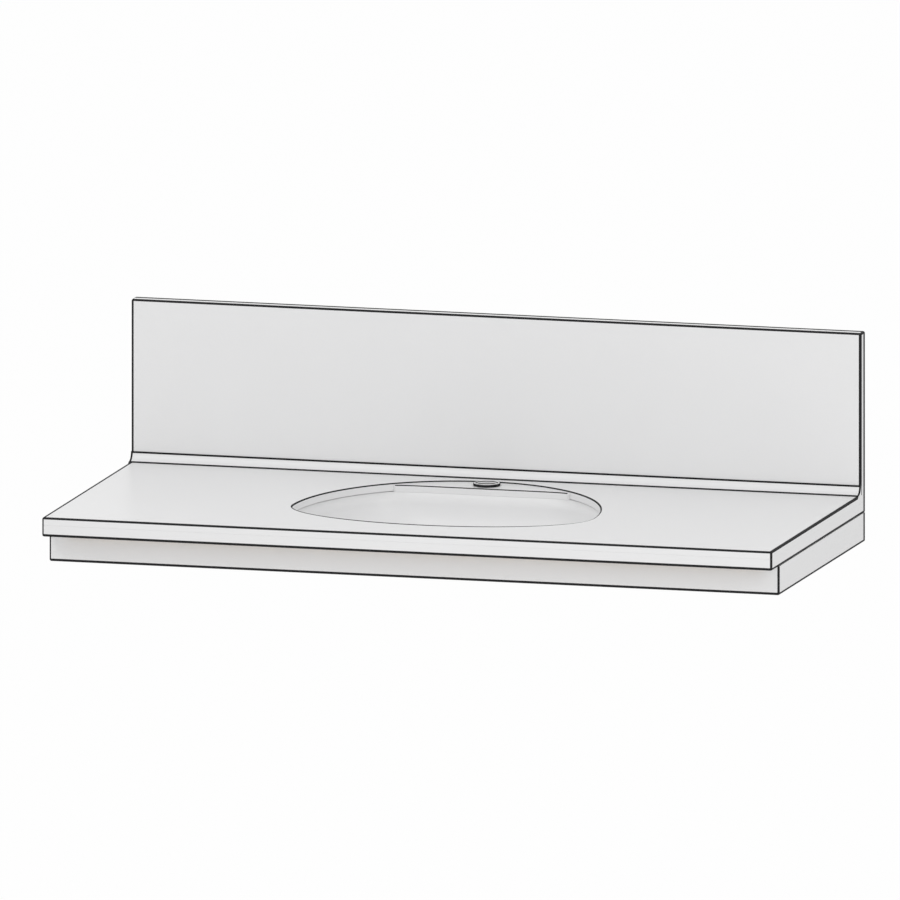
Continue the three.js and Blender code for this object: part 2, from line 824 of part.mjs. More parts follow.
// The channel's side view follows the basin's front outside, from above the overflow to past the
// drain, a chosen distance away from it
function channelSide(away, topZ, tailY) {
  const front = -Math.PI / 2;
  const floorZ = basinUnderZ - away;
  const frontReach = basinReach(front, basinWall + away);
  const side = new THREE.Shape();
  side.moveTo(drainY, topZ);
  side.lineTo(drainY - frontReach, topZ);
  for (let i = 0; i <= channelSteps; i += 1) {
    const { reachShare, depthShare } = bowlShares(i / channelSteps);
    const y = drainY - THREE.MathUtils.lerp(drainPadRadius, frontReach, reachShare);
    const z = THREE.MathUtils.lerp(flangeBottomZ, floorZ, depthShare);
    if (z < topZ) side.lineTo(y, z);
  }
  side.lineTo(tailY, floorZ);
  side.lineTo(tailY, basinUnderZ + overrun);
  side.lineTo(drainY, basinUnderZ + overrun);
  return side;
}

function makeOverflowChannel() {
  const topZ = flangeBottomZ - seam;
  const tailY = drainY + channelTail;
  const half = channelWidth / 2;
  const outside = channelSide(channelGap + channelWall, topZ, tailY);
  const inside = channelSide(channelGap, topZ - channelWall, tailY - channelWall);
  const body = runAlongX(outside, -half, half);
  const hollow = runAlongX(inside, channelWall - half, half - channelWall);
  const plug = skinOfRings(basinPlug(seam));
  const drainHole = post(wasteTubeRadius + seam, channelUnderZ - overrun, basinUnderZ + overrun)
    .translate(0, drainY, 0);
  addPart('overflow_channel', cut(body, hollow, plug, drainHole), solidSurface);
}

// Waste fitting, all on the drain's axis

const drainAxis = new THREE.Vector3(0, drainY, 0);

function makeWasteBody() {
  const tubeTopZ = wasteTopZ - wasteFlangeThickness;
  const lip = wasteFlangeThickness / 2;
  const tube = turned([
    [wasteBoreRadius, wasteEndZ],
    [wasteTubeRadius, wasteEndZ],
    [wasteTubeRadius, tubeTopZ],
    [wasteFlangeRadius, tubeTopZ],
    [wasteFlangeRadius, tubeTopZ + lip],
    [wasteFlangeRadius - lip, wasteTopZ],
    [dishRadius, wasteTopZ],
    [dishRadius, dishFloorZ],
    [wasteBoreRadius + throatChamfer, dishFloorZ],
    [wasteBoreRadius, dishFloorZ - throatChamfer],
  ]);
  const spiderBottomZ = spiderTopZ - spiderHeight;
  const half = spiderBar / 2;
  const barReach = (wasteBoreRadius + wasteTubeRadius) / 2;
  const barAcross = boxBetween(
    new THREE.Vector3(-barReach, -half, spiderBottomZ),
    new THREE.Vector3(barReach, half, spiderTopZ),
  );
  const barAlong = boxBetween(
    new THREE.Vector3(-half, -barReach, spiderBottomZ),
    new THREE.Vector3(half, barReach, spiderTopZ),
  );
  const boss = post(spiderBossRadius, spiderBottomZ, spiderTopZ, smallRoundSteps);
  const whole = joinAll(tube, barAcross, barAlong, boss);
  const bore = post(cartridgeNeckRadius + seam, spiderBottomZ - overrun, spiderTopZ + overrun,
    smallRoundSteps);
  const portMiddleZ = basinUnderZ - channelGap / 2;
  const port = boxBetween(
    new THREE.Vector3(-portWidth / 2, -wasteTubeRadius - overrun, portMiddleZ - portHeight / 2),
    new THREE.Vector3(portWidth / 2, wasteTubeRadius + overrun, portMiddleZ + portHeight / 2),
  );
  addPart('waste_body', cut(whole, bore, port), chrome, drainAxis);
}

function makeWasteSeals() {
  const sealLowZ = drainSeatZ + glueLine / 2;
  const sealHighZ = drainSeatZ + underFlangeSeal - glueLine / 2;
  addPart('waste_flange_seal',
    ring(wasteTubeRadius + seam, wasteFlangeRadius - wasteFlangeThickness / 2, sealLowZ, sealHighZ),
    rubber, drainAxis);
  const gasket = turned([
    [wasteTubeRadius + seam, gasketBottomZ],
    [gasketRadius, gasketBottomZ],
    [gasketRadius - gasketTaper, gasketTopZ],
    [wasteTubeRadius + seam, gasketTopZ],
  ]);
  addPart('waste_gasket', gasket, rubber, drainAxis);
  addPart('waste_washer',
    ring(wasteTubeRadius + seam, washerRadius, washerBottomZ, washerBottomZ + washerThickness),
    brass, drainAxis);
}

function makeLocknut() {
  const sides = 6;
  const cornerRadius = locknutFlats / 2 / Math.cos(Math.PI / sides);
  const outline = circlePath(0, 0, cornerRadius, sides);
  const shape = plateShape(outline, circlePath(0, 0, wasteTubeRadius + seam));
  const nut = plateBetween(shape, locknutBottomZ, locknutBottomZ + locknutThickness);
  addPart('waste_locknut', nut, brass, drainAxis);
}

// Stopper: cap, seal ring and stem move together in the fixed cartridge

function makeStopper() {
  const sealLowZ = dishFloorZ + runningGap;
  const sealTopZ = sealLowZ + stopperSealThickness;
  addPart('stopper_seal',
    ring(stopperPlugRadius + seam, stopperCapRadius - stopperSealInset, sealLowZ, sealTopZ),
    rubber, drainAxis);

  const rimZ = capLowZ + stopperCapEdge;
  const cap = [[0, capLowZ], [stopperCapRadius, capLowZ], [stopperCapRadius, rimZ]];
  for (let i = 1; i < arcSteps; i += 1) {
    const share = i / arcSteps;
    const fall = Math.sqrt(1 - (1 - share) ** 2);
    cap.push([stopperCapRadius * (1 - share), rimZ + stopperCapCrown * fall]);
  }
  cap.push([0, rimZ + stopperCapCrown]);
  addPart('stopper_cap', turned(cap), chrome, drainAxis);

  const plugTopZ = capLowZ - glueLine;
  const flare = [
    [0, plugLowZ - stemLength],
    [stemRadius, plugLowZ - stemLength],
    [stemRadius, plugLowZ],
    [stopperPlugRadius, plugLowZ],
    [stopperPlugRadius, plugTopZ],
    [0, plugTopZ],
  ];
  addPart('stopper_stem', turned(flare, smallRoundSteps), zincSteel, drainAxis);
}

function makeCartridge() {
  const topZ = plugLowZ - runningGap;
  const shoulderZ = spiderTopZ + glueLine;
  const boreFloorZ = plugLowZ - stemLength - runningGap;
  const neckEndZ = Math.min(spiderTopZ - cartridgeNeckLength, boreFloorZ - cartridgeFloor);
  const body = turned([
    [0, neckEndZ],
    [cartridgeNeckRadius, neckEndZ],
    [cartridgeNeckRadius, shoulderZ],
    [cartridgeRadius, shoulderZ],
    [cartridgeRadius, topZ],
    [stemRadius + runningGap, topZ],
    [stemRadius + runningGap, boreFloorZ],
    [0, boreFloorZ],
  ], smallRoundSteps);
  addPart('stopper_cartridge', body, acetal, drainAxis);
}

makeWorktopSheet();
makeEdgeStrips();
makeUnderlay();
makeSplash();
makeCove();
makeApron();
makeFrame();
makeBasin();
makeSealantBead();
makeTapLedge();
makeTapSeat();
makeClips();
makeOverflowRing();
makeOverflowChannel();
makeWasteBody();
makeWasteSeals();
makeLocknut();
makeStopper();
makeCartridge();

export default sinkTop;
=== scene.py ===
# %% [markdown]
# A vanity sink top is a worktop with a basin let into it, a splash at the back and an apron
# below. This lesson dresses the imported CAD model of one: the solids keep their places, and
# each visible piece gets the edges, curves and finish that the real one has.
# The frame comes first, because every piece is placed and sized from it.

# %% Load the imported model
import json
import math
from itertools import combinations
import bmesh
import bpy
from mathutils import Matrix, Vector

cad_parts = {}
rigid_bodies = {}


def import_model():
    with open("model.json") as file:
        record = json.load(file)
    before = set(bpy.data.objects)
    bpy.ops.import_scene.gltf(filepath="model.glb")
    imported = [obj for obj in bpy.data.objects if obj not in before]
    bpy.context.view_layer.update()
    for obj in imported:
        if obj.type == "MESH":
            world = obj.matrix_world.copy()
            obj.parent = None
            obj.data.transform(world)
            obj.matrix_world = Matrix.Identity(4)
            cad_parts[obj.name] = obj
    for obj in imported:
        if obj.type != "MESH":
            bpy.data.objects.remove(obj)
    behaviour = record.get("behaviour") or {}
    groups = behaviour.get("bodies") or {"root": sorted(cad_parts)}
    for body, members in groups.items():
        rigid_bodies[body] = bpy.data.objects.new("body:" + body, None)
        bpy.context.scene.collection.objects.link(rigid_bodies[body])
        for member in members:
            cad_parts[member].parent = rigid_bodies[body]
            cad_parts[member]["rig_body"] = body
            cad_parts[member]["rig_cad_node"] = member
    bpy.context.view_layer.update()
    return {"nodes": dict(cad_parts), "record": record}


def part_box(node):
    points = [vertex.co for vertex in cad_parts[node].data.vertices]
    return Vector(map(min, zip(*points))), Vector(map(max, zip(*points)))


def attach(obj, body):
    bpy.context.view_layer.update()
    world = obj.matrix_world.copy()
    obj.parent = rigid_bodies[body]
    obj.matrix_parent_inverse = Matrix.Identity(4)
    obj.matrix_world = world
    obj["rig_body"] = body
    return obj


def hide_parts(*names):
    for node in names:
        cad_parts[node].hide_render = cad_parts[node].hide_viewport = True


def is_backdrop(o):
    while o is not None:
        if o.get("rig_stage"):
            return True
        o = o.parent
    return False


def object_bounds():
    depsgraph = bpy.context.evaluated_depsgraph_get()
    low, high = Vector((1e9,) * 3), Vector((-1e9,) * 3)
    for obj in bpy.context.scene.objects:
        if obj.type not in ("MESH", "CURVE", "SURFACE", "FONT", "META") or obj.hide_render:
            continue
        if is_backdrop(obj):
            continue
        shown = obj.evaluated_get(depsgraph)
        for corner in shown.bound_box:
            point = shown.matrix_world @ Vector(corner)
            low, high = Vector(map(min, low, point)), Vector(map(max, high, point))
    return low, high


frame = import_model()

# %% [markdown]
# Operators work on whatever is selected, and the loaded nodes all are, so each piece starts
# from a clean selection. A few helpers do what a hand does with the mouse: start fresh, go
# into edit mode, pick vertices, edges or faces by where they are, and leave again. A mesh
# holds rounded numbers, so two places count as the same when they lie NEAR each other.

# %% Helpers for selecting
NEAR = 0.00002


def start_fresh():
    if bpy.context.object and bpy.context.object.mode != "OBJECT":
        bpy.ops.object.mode_set(mode="OBJECT")
    bpy.ops.object.select_all(action="DESELECT")


def choose(piece):
    start_fresh()
    piece.select_set(True)
    bpy.context.view_layer.objects.active = piece


def edit(piece):
    choose(piece)
    bpy.ops.object.mode_set(mode="EDIT")


def edit_all(piece):
    edit(piece)
    bpy.ops.mesh.select_all(action="SELECT")


def leave_edit():
    bpy.ops.object.mode_set(mode="OBJECT")


def pick(kind, test):
    bpy.ops.mesh.select_mode(type=kind)
    bpy.ops.mesh.select_all(action="DESELECT")
    mesh = bmesh.from_edit_mesh(bpy.context.object.data)
    parts = {"VERT": mesh.verts, "EDGE": mesh.edges, "FACE": mesh.faces}[kind]
    count = 0
    for part in parts:
        if test(part):
            part.select_set(True)
            count += 1
    mesh.select_flush_mode()
    bmesh.update_edit_mesh(bpy.context.object.data)
    return count


# %% [markdown]
# A cut leaves its mark in a mesh: doubled points, flat faces split into many, and slivers
# between them. A bevel gets no wider than the shortest edge that it meets, so flat faces are
# dissolved into whole ones and slivers are closed before the edges are softened. A finished
# piece is shaded smooth up to an angle, and weighted normals keep its large faces flat.

# %% Helpers for clean meshes
MERGE = 0.000003
LOOSE = 0.00001
SLIVER = 0.0003
FLAT = 0.5


def merge_close(piece, distance=MERGE):
    edit_all(piece)
    bpy.ops.mesh.remove_doubles(threshold=distance)
    leave_edit()


def clear_flats(piece, distance=MERGE):
    edit_all(piece)
    bpy.ops.mesh.dissolve_limited(angle_limit=math.radians(FLAT))
    leave_edit()
    merge_close(piece, distance)


def smooth(piece, degrees=30):
    merge_close(piece)
    choose(piece)
    bpy.ops.object.shade_smooth_by_angle(angle=math.radians(degrees))
    level = piece.modifiers.new("level", "WEIGHTED_NORMAL")
    level.keep_sharp = True
    bpy.ops.object.modifier_apply(modifier=level.name)


# %% [markdown]
# A piece is dressed with one finish or with a few. All its faces wear the first one, and the
# faces that need another are picked by the way they look or by where they lie.

# %% Helpers for finishes
def dress(piece, finishes):
    piece.data.materials.clear()
    for finish in finishes:
        piece.data.materials.append(finish)


def slot_of(piece, finish):
    return piece.data.materials.find(finish.name) if finish else -1


def finish_faces(piece, finish, test):
    edit(piece)
    found = pick("FACE", test)
    piece.active_material_index = slot_of(piece, finish)
    bpy.ops.object.material_slot_assign()
    leave_edit()
    return found


# %% [markdown]
# All boards of the top are cut from sheet, so they start as a cube of the right size, whose
# place and size are then settled in its mesh. Their arrises are eased with a fine bevel. SIDES
# gives each side's axis, and whether it lies at the low or the high end of it, and an edge is
# named by the two sides that meet there. Where the drawing shows a black line along an edge,
# the bevel's own faces are painted dark, as painted shade that outlines the edge.

# %% Helpers for boards
SIDES = {
    "left": (0, 0), "right": (0, 1), "front": (1, 0), "back": (1, 1), "bottom": (2, 0), "top": (2, 1),
}
ENDS = ("left", "right")
ALL_PAIRS = [(a, b) for a, b in combinations(SIDES, 2) if SIDES[a][0] != SIDES[b][0]]


def settle(name):
    piece = bpy.context.object
    piece.name = name
    bpy.ops.object.transform_apply(location=True, rotation=True, scale=True)
    return piece


def add_block(name, low, high):
    start_fresh()
    middle = [(a + b) / 2 for a, b in zip(low, high)]
    size = [b - a for a, b in zip(low, high)]
    bpy.ops.mesh.primitive_cube_add(size=1, location=middle, scale=size)
    return settle(name)


def on_edge(edge, corners, pair):
    for side in pair:
        axis, end = SIDES[side]
        if any(abs(vertex.co[axis] - corners[end][axis]) > NEAR for vertex in edge.verts):
            return False
    return True


def ease_edges(piece, corners, pairs, width, segments=2, finish=None, stop=math.inf):
    edit(piece)
    found = pick("EDGE", lambda edge: any(on_edge(edge, corners, pair) for pair in pairs)
                 and all(vertex.co.y < stop + NEAR for vertex in edge.verts))
    if found:
        bpy.ops.mesh.bevel(
            offset=width, segments=segments, affect="EDGES", material=slot_of(piece, finish))
    leave_edit()
    return found


# %% [markdown]
# A turned piece, such as the waste flange or the raised tap seat, is drawn as half of its
# section and spun about its axis. The section starts as one corner of a small plane, and
# extruding that corner from place to place draws the outline, as a pen would.

# %% Helper for turned pieces
ROUND_STEPS = 96
START_PLANE = 0.01


def turn_profile(name, profile, centre, steps=ROUND_STEPS):
    places = [Vector((centre[0] + radius, centre[1], height)) for radius, height in profile]
    corner = Vector((-START_PLANE / 2, -START_PLANE / 2, 0))
    start_fresh()
    bpy.ops.mesh.primitive_plane_add(size=START_PLANE, location=(0, 0, 0))
    piece = settle(name)
    edit(piece)
    pick("VERT", lambda vertex: vertex.index > 0)
    bpy.ops.mesh.delete(type="VERT")
    bpy.ops.mesh.select_all(action="SELECT")
    bpy.ops.transform.translate(value=places[0] - corner)
    for here, there in zip(places, places[1:]):
        bpy.ops.mesh.extrude_region_move(TRANSFORM_OT_translate={"value": there - here})
    bpy.ops.mesh.select_all(action="SELECT")
    bpy.ops.mesh.spin(steps=steps, angle=math.tau, center=(*centre, 0), axis=(0, 0, 1))
    bpy.ops.mesh.select_all(action="SELECT")
    bpy.ops.mesh.remove_doubles(threshold=MERGE)
    bpy.ops.mesh.normals_make_consistent(inside=False)
    leave_edit()
    return piece


# %% [markdown]
# A cut-out is made as in a workshop, with a tool that is sunk into the piece. The tool is a
# mesh of its own, and the Boolean modifier takes it away, adds it or keeps what is common. Then
# it is deleted. A cutter is longer than the piece by OVERRUN, so that it cuts clean through.

# %% Helper for cutting with another piece
OVERRUN = 0.01


def cut_with(piece, tool, way="DIFFERENCE"):
    choose(piece)
    change = piece.modifiers.new("cut", "BOOLEAN")
    change.operation = way
    change.solver = "EXACT"
    change.object = tool
    bpy.ops.object.modifier_apply(modifier=change.name)
    bpy.data.objects.remove(tool)


# %% [markdown]
# Sharp corners never stay sharp on a real product. A Bevel modifier with an angle limit rounds
# them all at once, and it is applied straight away. What repeats is made once, copied with a
# mesh of its own, and then turned and moved to its place. Where a CAD solid already has the
# right form, the piece starts as a copy of it, with its loose triangles merged.

# %% Helpers for softening, copying and placing
def soften(piece, width, segments=2, degrees=30, finish=None):
    choose(piece)
    change = piece.modifiers.new("soften", "BEVEL")
    change.width = width
    change.segments = segments
    change.limit_method = "ANGLE"
    change.angle_limit = math.radians(degrees)
    change.material = slot_of(piece, finish)
    bpy.ops.object.modifier_apply(modifier=change.name)


def copy_of(piece, name):
    twin = piece.copy()
    twin.data = piece.data.copy()
    twin.name = name
    bpy.context.scene.collection.objects.link(twin)
    return twin


def merged_copy(node, name):
    piece = copy_of(frame["nodes"][node], name)
    piece.parent = None
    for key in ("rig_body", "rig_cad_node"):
        if key in piece:
            del piece[key]
    merge_close(piece, LOOSE)
    return piece


def put(piece, place, rotation=(0, 0, 0)):
    choose(piece)
    piece.location = place
    piece.rotation_euler = rotation
    bpy.ops.object.transform_apply(location=True, rotation=True, scale=True)


def add_round(name, radius, low, high, centre, steps=ROUND_STEPS):
    start_fresh()
    bpy.ops.mesh.primitive_cylinder_add(
        vertices=steps, radius=radius, depth=high - low, location=(*centre, (low + high) / 2))
    return settle(name)


# %% [markdown]
# The materials share a few effects: fine specks, slow changes of tone, and grain. Each effect
# is a node group that puts out values only, so any material can hold it with its own numbers.
# Each node is fed from a small table: the name or number of a socket, and the number, colour or
# other node's output that goes there. The Mix node has sockets for every kind of value, so its
# colour sockets are found by number.

# %% Helpers for node trees
MIX_SHARE = 0
MIX_FIRST = 6
MIX_SECOND = 7
MIX_RESULT = 2


def feed(tree, node, values):
    for socket, value in values.items():
        if isinstance(value, bpy.types.NodeSocket):
            tree.links.new(value, node.inputs[socket])
        else:
            node.inputs[socket].default_value = value


def add_node(tree, kind, values=None, **settings):
    node = tree.nodes.new(kind)
    for key, value in settings.items():
        setattr(node, key, value)
    feed(tree, node, values or {})
    return node


def math_node(tree, operation, first, second):
    return add_node(tree, "ShaderNodeMath", {0: first, 1: second}, operation=operation).outputs[0]


def multiply_colours(tree, share, first, second):
    mix = add_node(
        tree, "ShaderNodeMix", {MIX_SHARE: share, MIX_FIRST: first, MIX_SECOND: second},
        data_type="RGBA", blend_type="MULTIPLY")
    return mix.outputs[MIX_RESULT]


# %% Helpers for groups and materials
NUMBER = "NodeSocketFloat"
PLACE = "NodeSocketVector"
COLOUR = "NodeSocketColor"


def new_group(name, inputs, outputs):
    group = bpy.data.node_groups.new(name, "ShaderNodeTree")
    for way, sockets in (("INPUT", inputs), ("OUTPUT", outputs)):
        for label, kind in sockets.items():
            group.interface.new_socket(label, in_out=way, socket_type=kind)
    return group, add_node(group, "NodeGroupInput").outputs


def new_material(name):
    finish = bpy.data.materials.new(name)
    finish.use_nodes = True
    print("material", name)
    return finish, finish.node_tree, finish.node_tree.nodes["Principled BSDF"]


def add_relief(tree, shader, height, strength, distance):
    relief = add_node(
        tree, "ShaderNodeBump", {"Height": height, "Strength": strength, "Distance": distance})
    feed(tree, shader, {"Normal": relief.outputs["Normal"]})


# %% Group for speckled, slightly uneven surfaces
NOISE_MIDDLE = 0.5
DOT_SIZE = 0.16
speckle, given = new_group(
    "fine_speckle",
    {"Vector": PLACE, "Grain": NUMBER, "Speck": NUMBER, "Cloud": NUMBER},
    {"Tone": NUMBER, "Gloss": NUMBER, "Height": NUMBER},
)
grain = add_node(speckle, "ShaderNodeTexNoise", {
    "Vector": given["Vector"], "Scale": given["Grain"], "Detail": 3, "Roughness": 0.6})
cloud = add_node(speckle, "ShaderNodeTexNoise", {"Vector": given["Vector"], "Scale": 6, "Detail": 2})
cells = add_node(
    speckle, "ShaderNodeTexVoronoi", {"Vector": given["Vector"], "Scale": given["Grain"]})
fine = math_node(speckle, "SUBTRACT", grain.outputs["Fac"], NOISE_MIDDLE)
slow = math_node(speckle, "SUBTRACT", cloud.outputs["Fac"], NOISE_MIDDLE)
dots = math_node(speckle, "LESS_THAN", cells.outputs["Distance"], DOT_SIZE)
tone = math_node(speckle, "MULTIPLY", fine, given["Speck"])
tone = math_node(speckle, "SUBTRACT", tone, math_node(speckle, "MULTIPLY", dots, given["Speck"]))
tone = math_node(speckle, "ADD", tone, math_node(speckle, "MULTIPLY", slow, given["Cloud"]))
add_node(speckle, "NodeGroupOutput", {
    "Tone": math_node(speckle, "ADD", tone, 1.0),
    "Gloss": math_node(speckle, "ADD", slow, fine),
    "Height": grain.outputs["Fac"],
})
print("groups", [group.name for group in bpy.data.node_groups])


# %% Material made with the speckle group
BUMP_STRENGTH = 0.3


def speckled(name, colour, roughness, metallic=0.0, grain_scale=700.0, speck=0.03, cloud_share=0.02,
             gloss_share=0.1, bump=0.0, mirror_level=0.5):
    finish, tree, shader = new_material(name)
    place = add_node(tree, "ShaderNodeTexCoord").outputs["Object"]
    effect = add_node(
        tree, "ShaderNodeGroup",
        {"Vector": place, "Grain": grain_scale, "Speck": speck, "Cloud": cloud_share},
        node_tree=speckle).outputs
    shade = math_node(tree, "MULTIPLY", effect["Gloss"], gloss_share)
    feed(tree, shader, {
        "Base Color": multiply_colours(tree, 1.0, (*colour, 1), effect["Tone"]),
        "Roughness": math_node(tree, "ADD", shade, roughness),
        "Metallic": metallic,
        "Specular IOR Level": mirror_level,
    })
    if bump:
        add_relief(tree, shader, effect["Height"], BUMP_STRENGTH, bump)
    return finish


# %% [markdown]
# Solid surface is a filled acrylic with a soft sheen. Seen close it has very fine specks and a
# slow drift of tone, and no grain. The drawing gives one light grey for every face.

# %% Solid surface and its painted edge shade
pale = speckled("pale_solid_surface", (0.752, 0.752, 0.755), 0.36, speck=0.05, cloud_share=0.03,
                grain_scale=900.0, bump=0.00004)
# The dark edge line is painted shade: near-black colour laid on arrises, lips and the rim so that each
# edge reads outlined, as shade would outline it.
shade_line = speckled("painted_shade_edge_line", (0.014, 0.014, 0.015), 0.7, speck=0.1, cloud_share=0.2,
                mirror_level=0.15)

# %% [markdown]
# Metals differ mainly in colour and roughness. The chrome of the waste is nearly a mirror, the
# zinc of clips and screws is dull, and brass is warm. Rubber, sealant, the acetal cartridge and
# the unpolished back of a casting are dull, with a fine grain.

# %% Metals, rubber and plastics
chrome = speckled("polished_chrome", (0.80, 0.81, 0.82), 0.1, metallic=1.0, speck=0.01,
                  cloud_share=0.04, gloss_share=0.05, grain_scale=400.0)
zinc = speckled("zinc_plated_steel", (0.55, 0.57, 0.58), 0.38, metallic=0.9, speck=0.12,
                cloud_share=0.2, gloss_share=0.25, grain_scale=500.0, bump=0.00003)
yellow_brass = speckled("turned_brass", (0.62, 0.47, 0.2), 0.3, metallic=0.95, speck=0.1,
                        cloud_share=0.25, gloss_share=0.2, grain_scale=600.0)
black_rubber = speckled("moulded_rubber", (0.028, 0.028, 0.03), 0.7, speck=0.25, cloud_share=0.3,
                        grain_scale=900.0, bump=0.00005)
sealant = speckled("silicone_sealant", (0.73, 0.73, 0.73), 0.5, speck=0.04, cloud_share=0.06,
                   grain_scale=300.0)
cast_back = speckled("cast_back_skin", (0.62, 0.62, 0.61), 0.6, speck=0.1, cloud_share=0.12,
                     grain_scale=500.0, bump=0.0001)
acetal = speckled("white_acetal", (0.8, 0.8, 0.77), 0.42, speck=0.03, cloud_share=0.05)

# %% [markdown]
# Birch plywood shows two things: long pale grain with short dark pores on its faces, and thin
# layers on its sawn edges, one with long grain and the next with dark end grain. The noise of
# the grain is stretched along one axis of the board. The layers are bands across its
# thickness, which a ping-pong of the place makes.

# %% Group for plywood
GRAIN_TINTS = ((0.3, (0.42, 0.27, 0.13, 1)), (0.72, (0.68, 0.5, 0.3, 1)))
LAYER_TINT = (0.6, 0.5, 0.42, 1)
PORE_TINT = (0.74, 0.63, 0.5, 1)
ply, given = new_group(
    "ply_grain", {"Vector": PLACE, "Layers": NUMBER}, {"Colour": COLOUR, "Height": NUMBER})
fibres = add_node(ply, "ShaderNodeTexNoise", {
    "Vector": given["Vector"], "Scale": 1, "Detail": 6, "Roughness": 0.62, "Distortion": 0.4})
tint = add_node(ply, "ShaderNodeValToRGB", {"Fac": fibres.outputs["Fac"]})
for element, (position, colour) in zip(tint.color_ramp.elements, GRAIN_TINTS):
    element.position = position
    element.color = colour
band = math_node(ply, "PINGPONG", given["Layers"], 1.0)
end_grain = math_node(ply, "GREATER_THAN", band, 0.5)
layered = multiply_colours(ply, end_grain, tint.outputs["Color"], LAYER_TINT)
pores = add_node(ply, "ShaderNodeTexNoise", {"Vector": given["Vector"], "Scale": 12, "Detail": 1})
dashes = add_node(ply, "ShaderNodeMapRange", {
    "Value": pores.outputs["Fac"], "From Min": 0.55, "From Max": 0.66})
pored = multiply_colours(ply, dashes.outputs["Result"], layered, PORE_TINT)
add_node(ply, "NodeGroupOutput", {"Colour": pored, "Height": fibres.outputs["Fac"]})
print("groups", [group.name for group in bpy.data.node_groups])

# %% Plywood for faces and for sawn edges
PLY_LAYER = 0.0014
FACE_STRETCH = (3, 90)
EDGE_STRETCH = (60, 20)


def plywood(name, axis, along, across, layers=False):
    finish, tree, shader = new_material(name)
    place = add_node(tree, "ShaderNodeTexCoord").outputs["Object"]
    stretch = [across, across, across]
    stretch[axis] = along
    scaled = add_node(tree, "ShaderNodeMapping", {"Vector": place, "Scale": stretch})
    effect = add_node(
        tree, "ShaderNodeGroup", {"Vector": scaled.outputs["Vector"]}, node_tree=ply)
    if layers:
        parts = add_node(tree, "ShaderNodeSeparateXYZ", {"Vector": place})
        feed(tree, effect, {"Layers": math_node(tree, "MULTIPLY", parts.outputs[axis], 1 / PLY_LAYER)})
    feed(tree, shader, {"Base Color": effect.outputs["Colour"], "Roughness": 0.68})
    add_relief(tree, shader, effect.outputs["Height"], strength=0.35, distance=0.0003)
    return finish


ply_face = plywood("birch_face", 0, *FACE_STRETCH)
ply_face_cross = plywood("birch_face_across", 1, *FACE_STRETCH)
ply_edges = [plywood(f"birch_edge_layers_{letter}", axis, *EDGE_STRETCH, layers=True)
             for axis, letter in enumerate("xyz")]

# %% [markdown]
# Each piece stands for a CAD node and rides on that node's body. One helper does this
# bookkeeping and prints the piece's size in millimetres. Another reads the box of a round node,
# whose middle and radius place everything that is turned.

# %% Helpers for measuring and handing in
BODY_OF = {node: body for body, nodes in frame["record"]["behaviour"]["bodies"].items()
           for node in nodes}
made = []


def hand_in(piece, node, angle=30):
    smooth(piece, angle)
    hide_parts(node)
    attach(piece, BODY_OF[node])
    size = [round(value * 1000, 1) for value in piece.dimensions]
    made.append(piece.name)
    print(piece.name, size, len(piece.data.polygons), "faces")


def round_box(node):
    low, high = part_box(node)
    return low, high, ((low.x + high.x) / 2, (low.y + high.y) / 2), (high.x - low.x) / 2


# %% [markdown]
# The boards of solid surface come next. A painted dark line, painted shade that outlines the
# edge, goes on the arrises that the drawing outlines. Where the drawing looks along an arris, so
# that it would hardly show, a narrow band of the same painted shade on the face beside it carries
# the line. The glued joints between the boards show no line, so those edges are only just eased,
# and the glue line is closed to a hair.

# %% Helpers for boards with lines
LINE_ARRIS = 0.0032
JOINT_ARRIS = 0.0002
JOINT_FILL = 0.00014
BAND_WIDTH = {"back": 0.0125, "bottom": 0.0046, "left": 0.0042, "right": 0.0042}
FACING = 0.6


def slice_along(piece, axis, level):
    place = Vector((0, 0, 0))
    place[axis] = level
    direction = Vector((0, 0, 0))
    direction[axis] = 1
    edit_all(piece)
    bpy.ops.mesh.bisect(plane_co=place, plane_no=direction)
    leave_edit()


def add_band(piece, corners, face_side, edge_side, width):
    axis, end = SIDES[edge_side]
    inward = -1 if end else 1
    level = corners[end][axis] + inward * width
    slice_along(piece, axis, level)
    face_axis, face_end = SIDES[face_side]
    outward = 1 if face_end else -1
    # The band is painted shade: the faces beside the edge get the dark line colour.
    finish_faces(piece, shade_line, lambda face: face.normal[face_axis] * outward > FACING
                 and (face.calc_center_median()[axis] - level) * inward < 0)


def board(node, lines, close=(), bands=()):
    corners = [Vector(corner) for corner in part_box(node)]
    for side in close:
        axis, end = SIDES[side]
        corners[end][axis] += JOINT_FILL if end else -JOINT_FILL
    piece = add_block(f"{node}_board", *corners)
    dress(piece, [pale, shade_line])
    ease_edges(piece, corners, lines, LINE_ARRIS, segments=3, finish=shade_line)
    joints = [pair for pair in ALL_PAIRS if pair not in lines]
    ease_edges(piece, corners, joints, JOINT_ARRIS, segments=1)
    for face_side, edge_side in bands:
        add_band(piece, corners, face_side, edge_side, BAND_WIDTH[edge_side])
    hand_in(piece, node)


# %% [markdown]
# The slab's edge and the apron are built alike: a long strip in front, whose lines run along
# its foot and round both of its ends, and a strip at each end that starts behind it. The splash
# is a sheet with a strip on top and one at each end, which make it look thick.

# %% Boards of solid surface
def round_the_ends(face, rim):
    return [(face, rim)] + [(end, side) for end in ENDS for side in (face, rim)]


def end_boards(stem, lines, close):
    for side in ENDS:
        board(f"{stem}_{side}", [(side, other) for other in lines], close,
              bands=[(side, other) for other in lines])


def front_and_ends(stem):
    board(f"{stem}_front", round_the_ends("front", "bottom"), close=("top",),
          bands=[(side, "bottom") for side in ("front", *ENDS)])
    end_boards(stem, lines=("bottom", "back"), close=("top", "front"))


